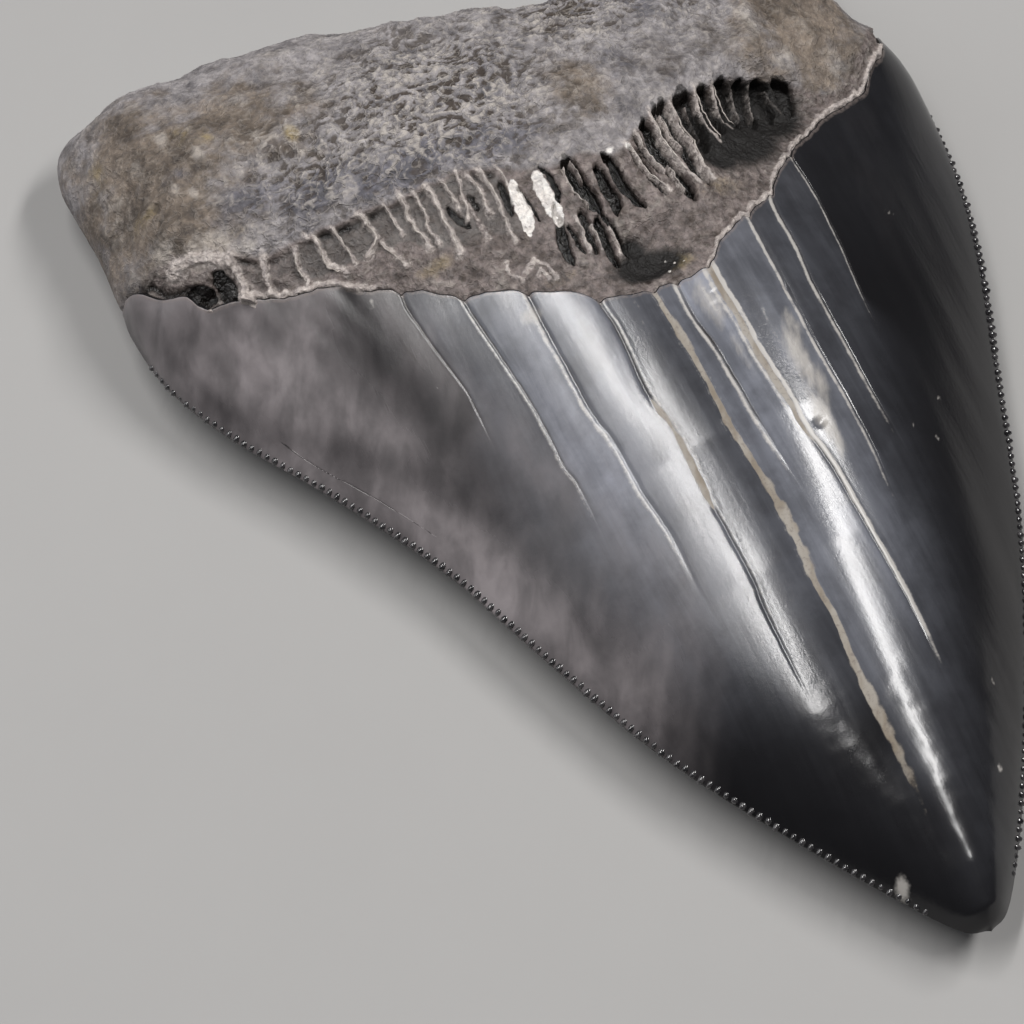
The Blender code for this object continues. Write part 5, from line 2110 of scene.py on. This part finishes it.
@dataclass
class RibCrests(GrownPiece):
    """Pale crests that run along the tops of the band's ribs, part chalk and part painted highlight."""

    name: str = "rib_crests"
    sides: int = 8
    wobble: float = 0.14
    girth_share: float = 0.42

    def tree(self, material: bpy.types.Material) -> bpy.types.NodeTree:
        """Tree that sweeps a round section along the guide lines and makes it uneven.

        Args:
            material: the crests' finish.

        Returns:
            The tree, with inputs Guide, Sides and Wobble.
        """
        inputs = {"Guide": "Geometry", "Sides": "Int", "Wobble": "Float"}
        nodes, source = start_group(self.name, "GeometryNodeTree", inputs, {"Mesh": "Geometry"})
        curve = nodes.add("GeometryNodeMeshToCurve", {"Mesh": source["Guide"]}).outputs[0]
        girth = nodes.add("GeometryNodeInputNamedAttribute", {"Name": "girth"}, data_type="FLOAT").outputs[0]
        ring = nodes.add("GeometryNodeCurvePrimitiveCircle", {"Resolution": source["Sides"], "Radius": 1.0})
        sweep = {"Curve": curve, "Profile Curve": ring.outputs["Curve"], "Scale": girth, "Fill Caps": True}
        tube = nodes.add("GeometryNodeCurveToMesh", sweep).outputs[0]
        rough = nodes.add("ShaderNodeTexNoise", {"Scale": 1600.0, "Detail": 1.0}).outputs["Color"]
        offset = nodes.add("ShaderNodeVectorMath", {0: rough, 1: (0.5, 0.5, 0.5)},
                           operation="SUBTRACT").outputs[0]
        offset = nodes.add("ShaderNodeVectorMath", {0: offset, "Scale": source["Wobble"]},
                           operation="SCALE").outputs[0]
        moved = nodes.add("GeometryNodeSetPosition", {"Geometry": tube, "Offset": offset}).outputs[0]
        return self.finish_tree(nodes, moved, material)

    def build(self, material: bpy.types.Material) -> bpy.types.Object:
        """Builds the crests.

        Args:
            material: their finish.

        Returns:
            The finished object.
        """
        lines, girths = [], []
        for number, rib in enumerate(RIBS):
            if rib.girth in (Girth.SLAB, Girth.BROAD) or rib.tall < 0:
                continue
            plan = along(smooth_curve(rib.path, 8), np.linspace(0.04, 0.94, 26))
            x, y = plan.T
            moved_x, moved_y = wobbled(x, y, RIB_SEED)
            x, y = 2 * x - moved_x, 2 * y - moved_y
            bare = FORM.inner_height(x, y)
            rise, _ = SKIN.sample(x, y, bare)
            taper = np.clip(1.15 - (2 * np.linspace(0, 1, len(x)) - 1) ** 4, 0.15, 1.0)
            size = rib.girth.value * self.girth_share * taper * (0.4 + 0.6 * rib.pale)
            size = size * (1 + 0.3 * FINE_GRAIN.over(x, y, 0.8, number * 1.7))
            lines.append(np.column_stack([x, y, bare + rise * 0.97 - 0.3 * size]))
            girths.append(size)
        return self.grow(lines, girths, self.tree(material),
                         {"Sides": self.sides, "Wobble": self.wobble * MILLIMETRE}, material)


@dataclass(frozen=True)
class SoftBox:
    """An area light that faces the middle of the tooth, its long side running from its head to its foot."""

    name: str
    head: tuple[float, float, float]
    foot: tuple[float, float, float]
    width: float
    power: float
    colour: Colour = (1.0, 0.985, 0.97)
    distance: float = 0.62

    def place(self, target: Vector) -> None:
        """Sets the light up.

        Args:
            target: the point that the light faces.
        """
        head, foot = (target + Vector(end).normalized() * self.distance for end in (self.head, self.foot))
        away = ((head + foot) / 2 - target).normalized()
        run = head - foot
        up = (run - away * run.dot(away)).normalized()
        lamp = bpy.data.lights.new(self.name, "AREA")
        lamp.shape = "RECTANGLE"
        lamp.size, lamp.size_y = self.width, run.length
        lamp.energy = self.power
        lamp.color = self.colour
        turn = Matrix((up.cross(away), up, away)).transposed().to_4x4()
        light = bpy.data.objects.new(self.name, lamp)
        light.matrix_world = Matrix.Translation((head + foot) / 2) @ turn
        bpy.context.scene.collection.objects.link(light)


@dataclass
class Studio:
    """Floor, soft light and camera."""

    floor_size: float = 3.0
    lens: float = 112.85
    camera_at: tuple[float, float, float] = (-0.0941, -0.13965, 0.2586)
    camera_right: tuple[float, float, float] = (0.9058, -0.4213, 0.0462)
    camera_up: tuple[float, float, float] = (0.3359, 0.7801, 0.5279)
    world_colour: tuple[float, float, float] = (0.62, 0.68, 0.80)
    world_strength: float = 0.05
    aim: tuple[float, float, float] = (0.0, -0.01, 0.015)
    lights: tuple[SoftBox, ...] = (
        SoftBox("main_softbox", (-0.035, 0.449, 1.03), (-0.495, -0.17, 0.846), 0.038, 2.2),
        SoftBox("wide_softbox", (-0.16, 0.53, 1.03), (-0.62, -0.09, 0.825), 0.10, 0.5),
        SoftBox("right_strip", (0.60, 0.235, 0.76), (0.339, -0.31, 0.888), 0.068, 2.8),
        SoftBox("left_panel", (-0.50, 0.75, 0.43), (-0.90, 0.10, 0.43), 0.60, 1.8, (0.98, 0.98, 1.0), 0.80),
    )

    def floor(self, material: bpy.types.Material) -> None:
        """Lays the floor under the tooth."""
        half = self.floor_size / 2
        mesh = bpy.data.meshes.new("studio_floor")
        corners = [(-half, -half, 0), (half, -half, 0), (half, half, 0), (-half, half, 0)]
        mesh.from_pydata(corners, [], [(0, 1, 2, 3)])
        mesh.materials.append(material)
        floor = bpy.data.objects.new("studio_floor", mesh)
        bpy.context.scene.collection.objects.link(floor)

    def camera(self) -> None:
        """Sets the camera at the photograph's view of the tooth."""
        data = bpy.data.cameras.new("view")
        data.lens = self.lens
        data.clip_start = 0.01
        camera = bpy.data.objects.new("view", data)
        right, up = Vector(self.camera_right), Vector(self.camera_up)
        back = right.cross(up)
        turn = Matrix((right, up, back)).transposed().to_4x4()
        camera.matrix_world = Matrix.Translation(self.camera_at) @ turn
        bpy.context.scene.collection.objects.link(camera)
        bpy.context.scene.camera = camera

    def world(self) -> None:
        """Fills the room with dim cool light."""
        world = bpy.data.worlds.new("studio")
        world.use_nodes = True
        ground = world.node_tree.nodes["Background"]
        ground.inputs["Color"].default_value = (*self.world_colour, 1.0)
        ground.inputs["Strength"].default_value = self.world_strength
        bpy.context.scene.world = world

    def build(self, material: bpy.types.Material) -> None:
        """Builds the whole studio round the tooth."""
        self.floor(material)
        self.camera()
        self.world()
        for light in self.lights:
            light.place(Vector(self.aim))
        bpy.context.scene.view_settings.view_transform = "Standard"


def main() -> None:
    """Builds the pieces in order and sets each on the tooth."""
    groups = SharedGroups()
    enamel = EnamelFinish().make(groups)
    bone = RootFinish().make(groups)
    pieces = (
        (EnamelCrown().build(enamel), "enamel"),
        (RibbedBand().build(bone), "root"),
        (Root().build(bone), "root"),
        (EdgeBeads().build(GLOSSY_BEAD.make(groups)), "enamel"),
        (RibCrests().build(CHALKY_CREST.make(groups)), "root"),
    )
    for piece, slot in pieces:
        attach(piece, BODY)
        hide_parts(NODE)
        log.info("%s takes its finish from %s", piece.name, slot)
    Studio().build(PALE_FLOOR.make(groups))


if __name__ == "__main__":
    main()
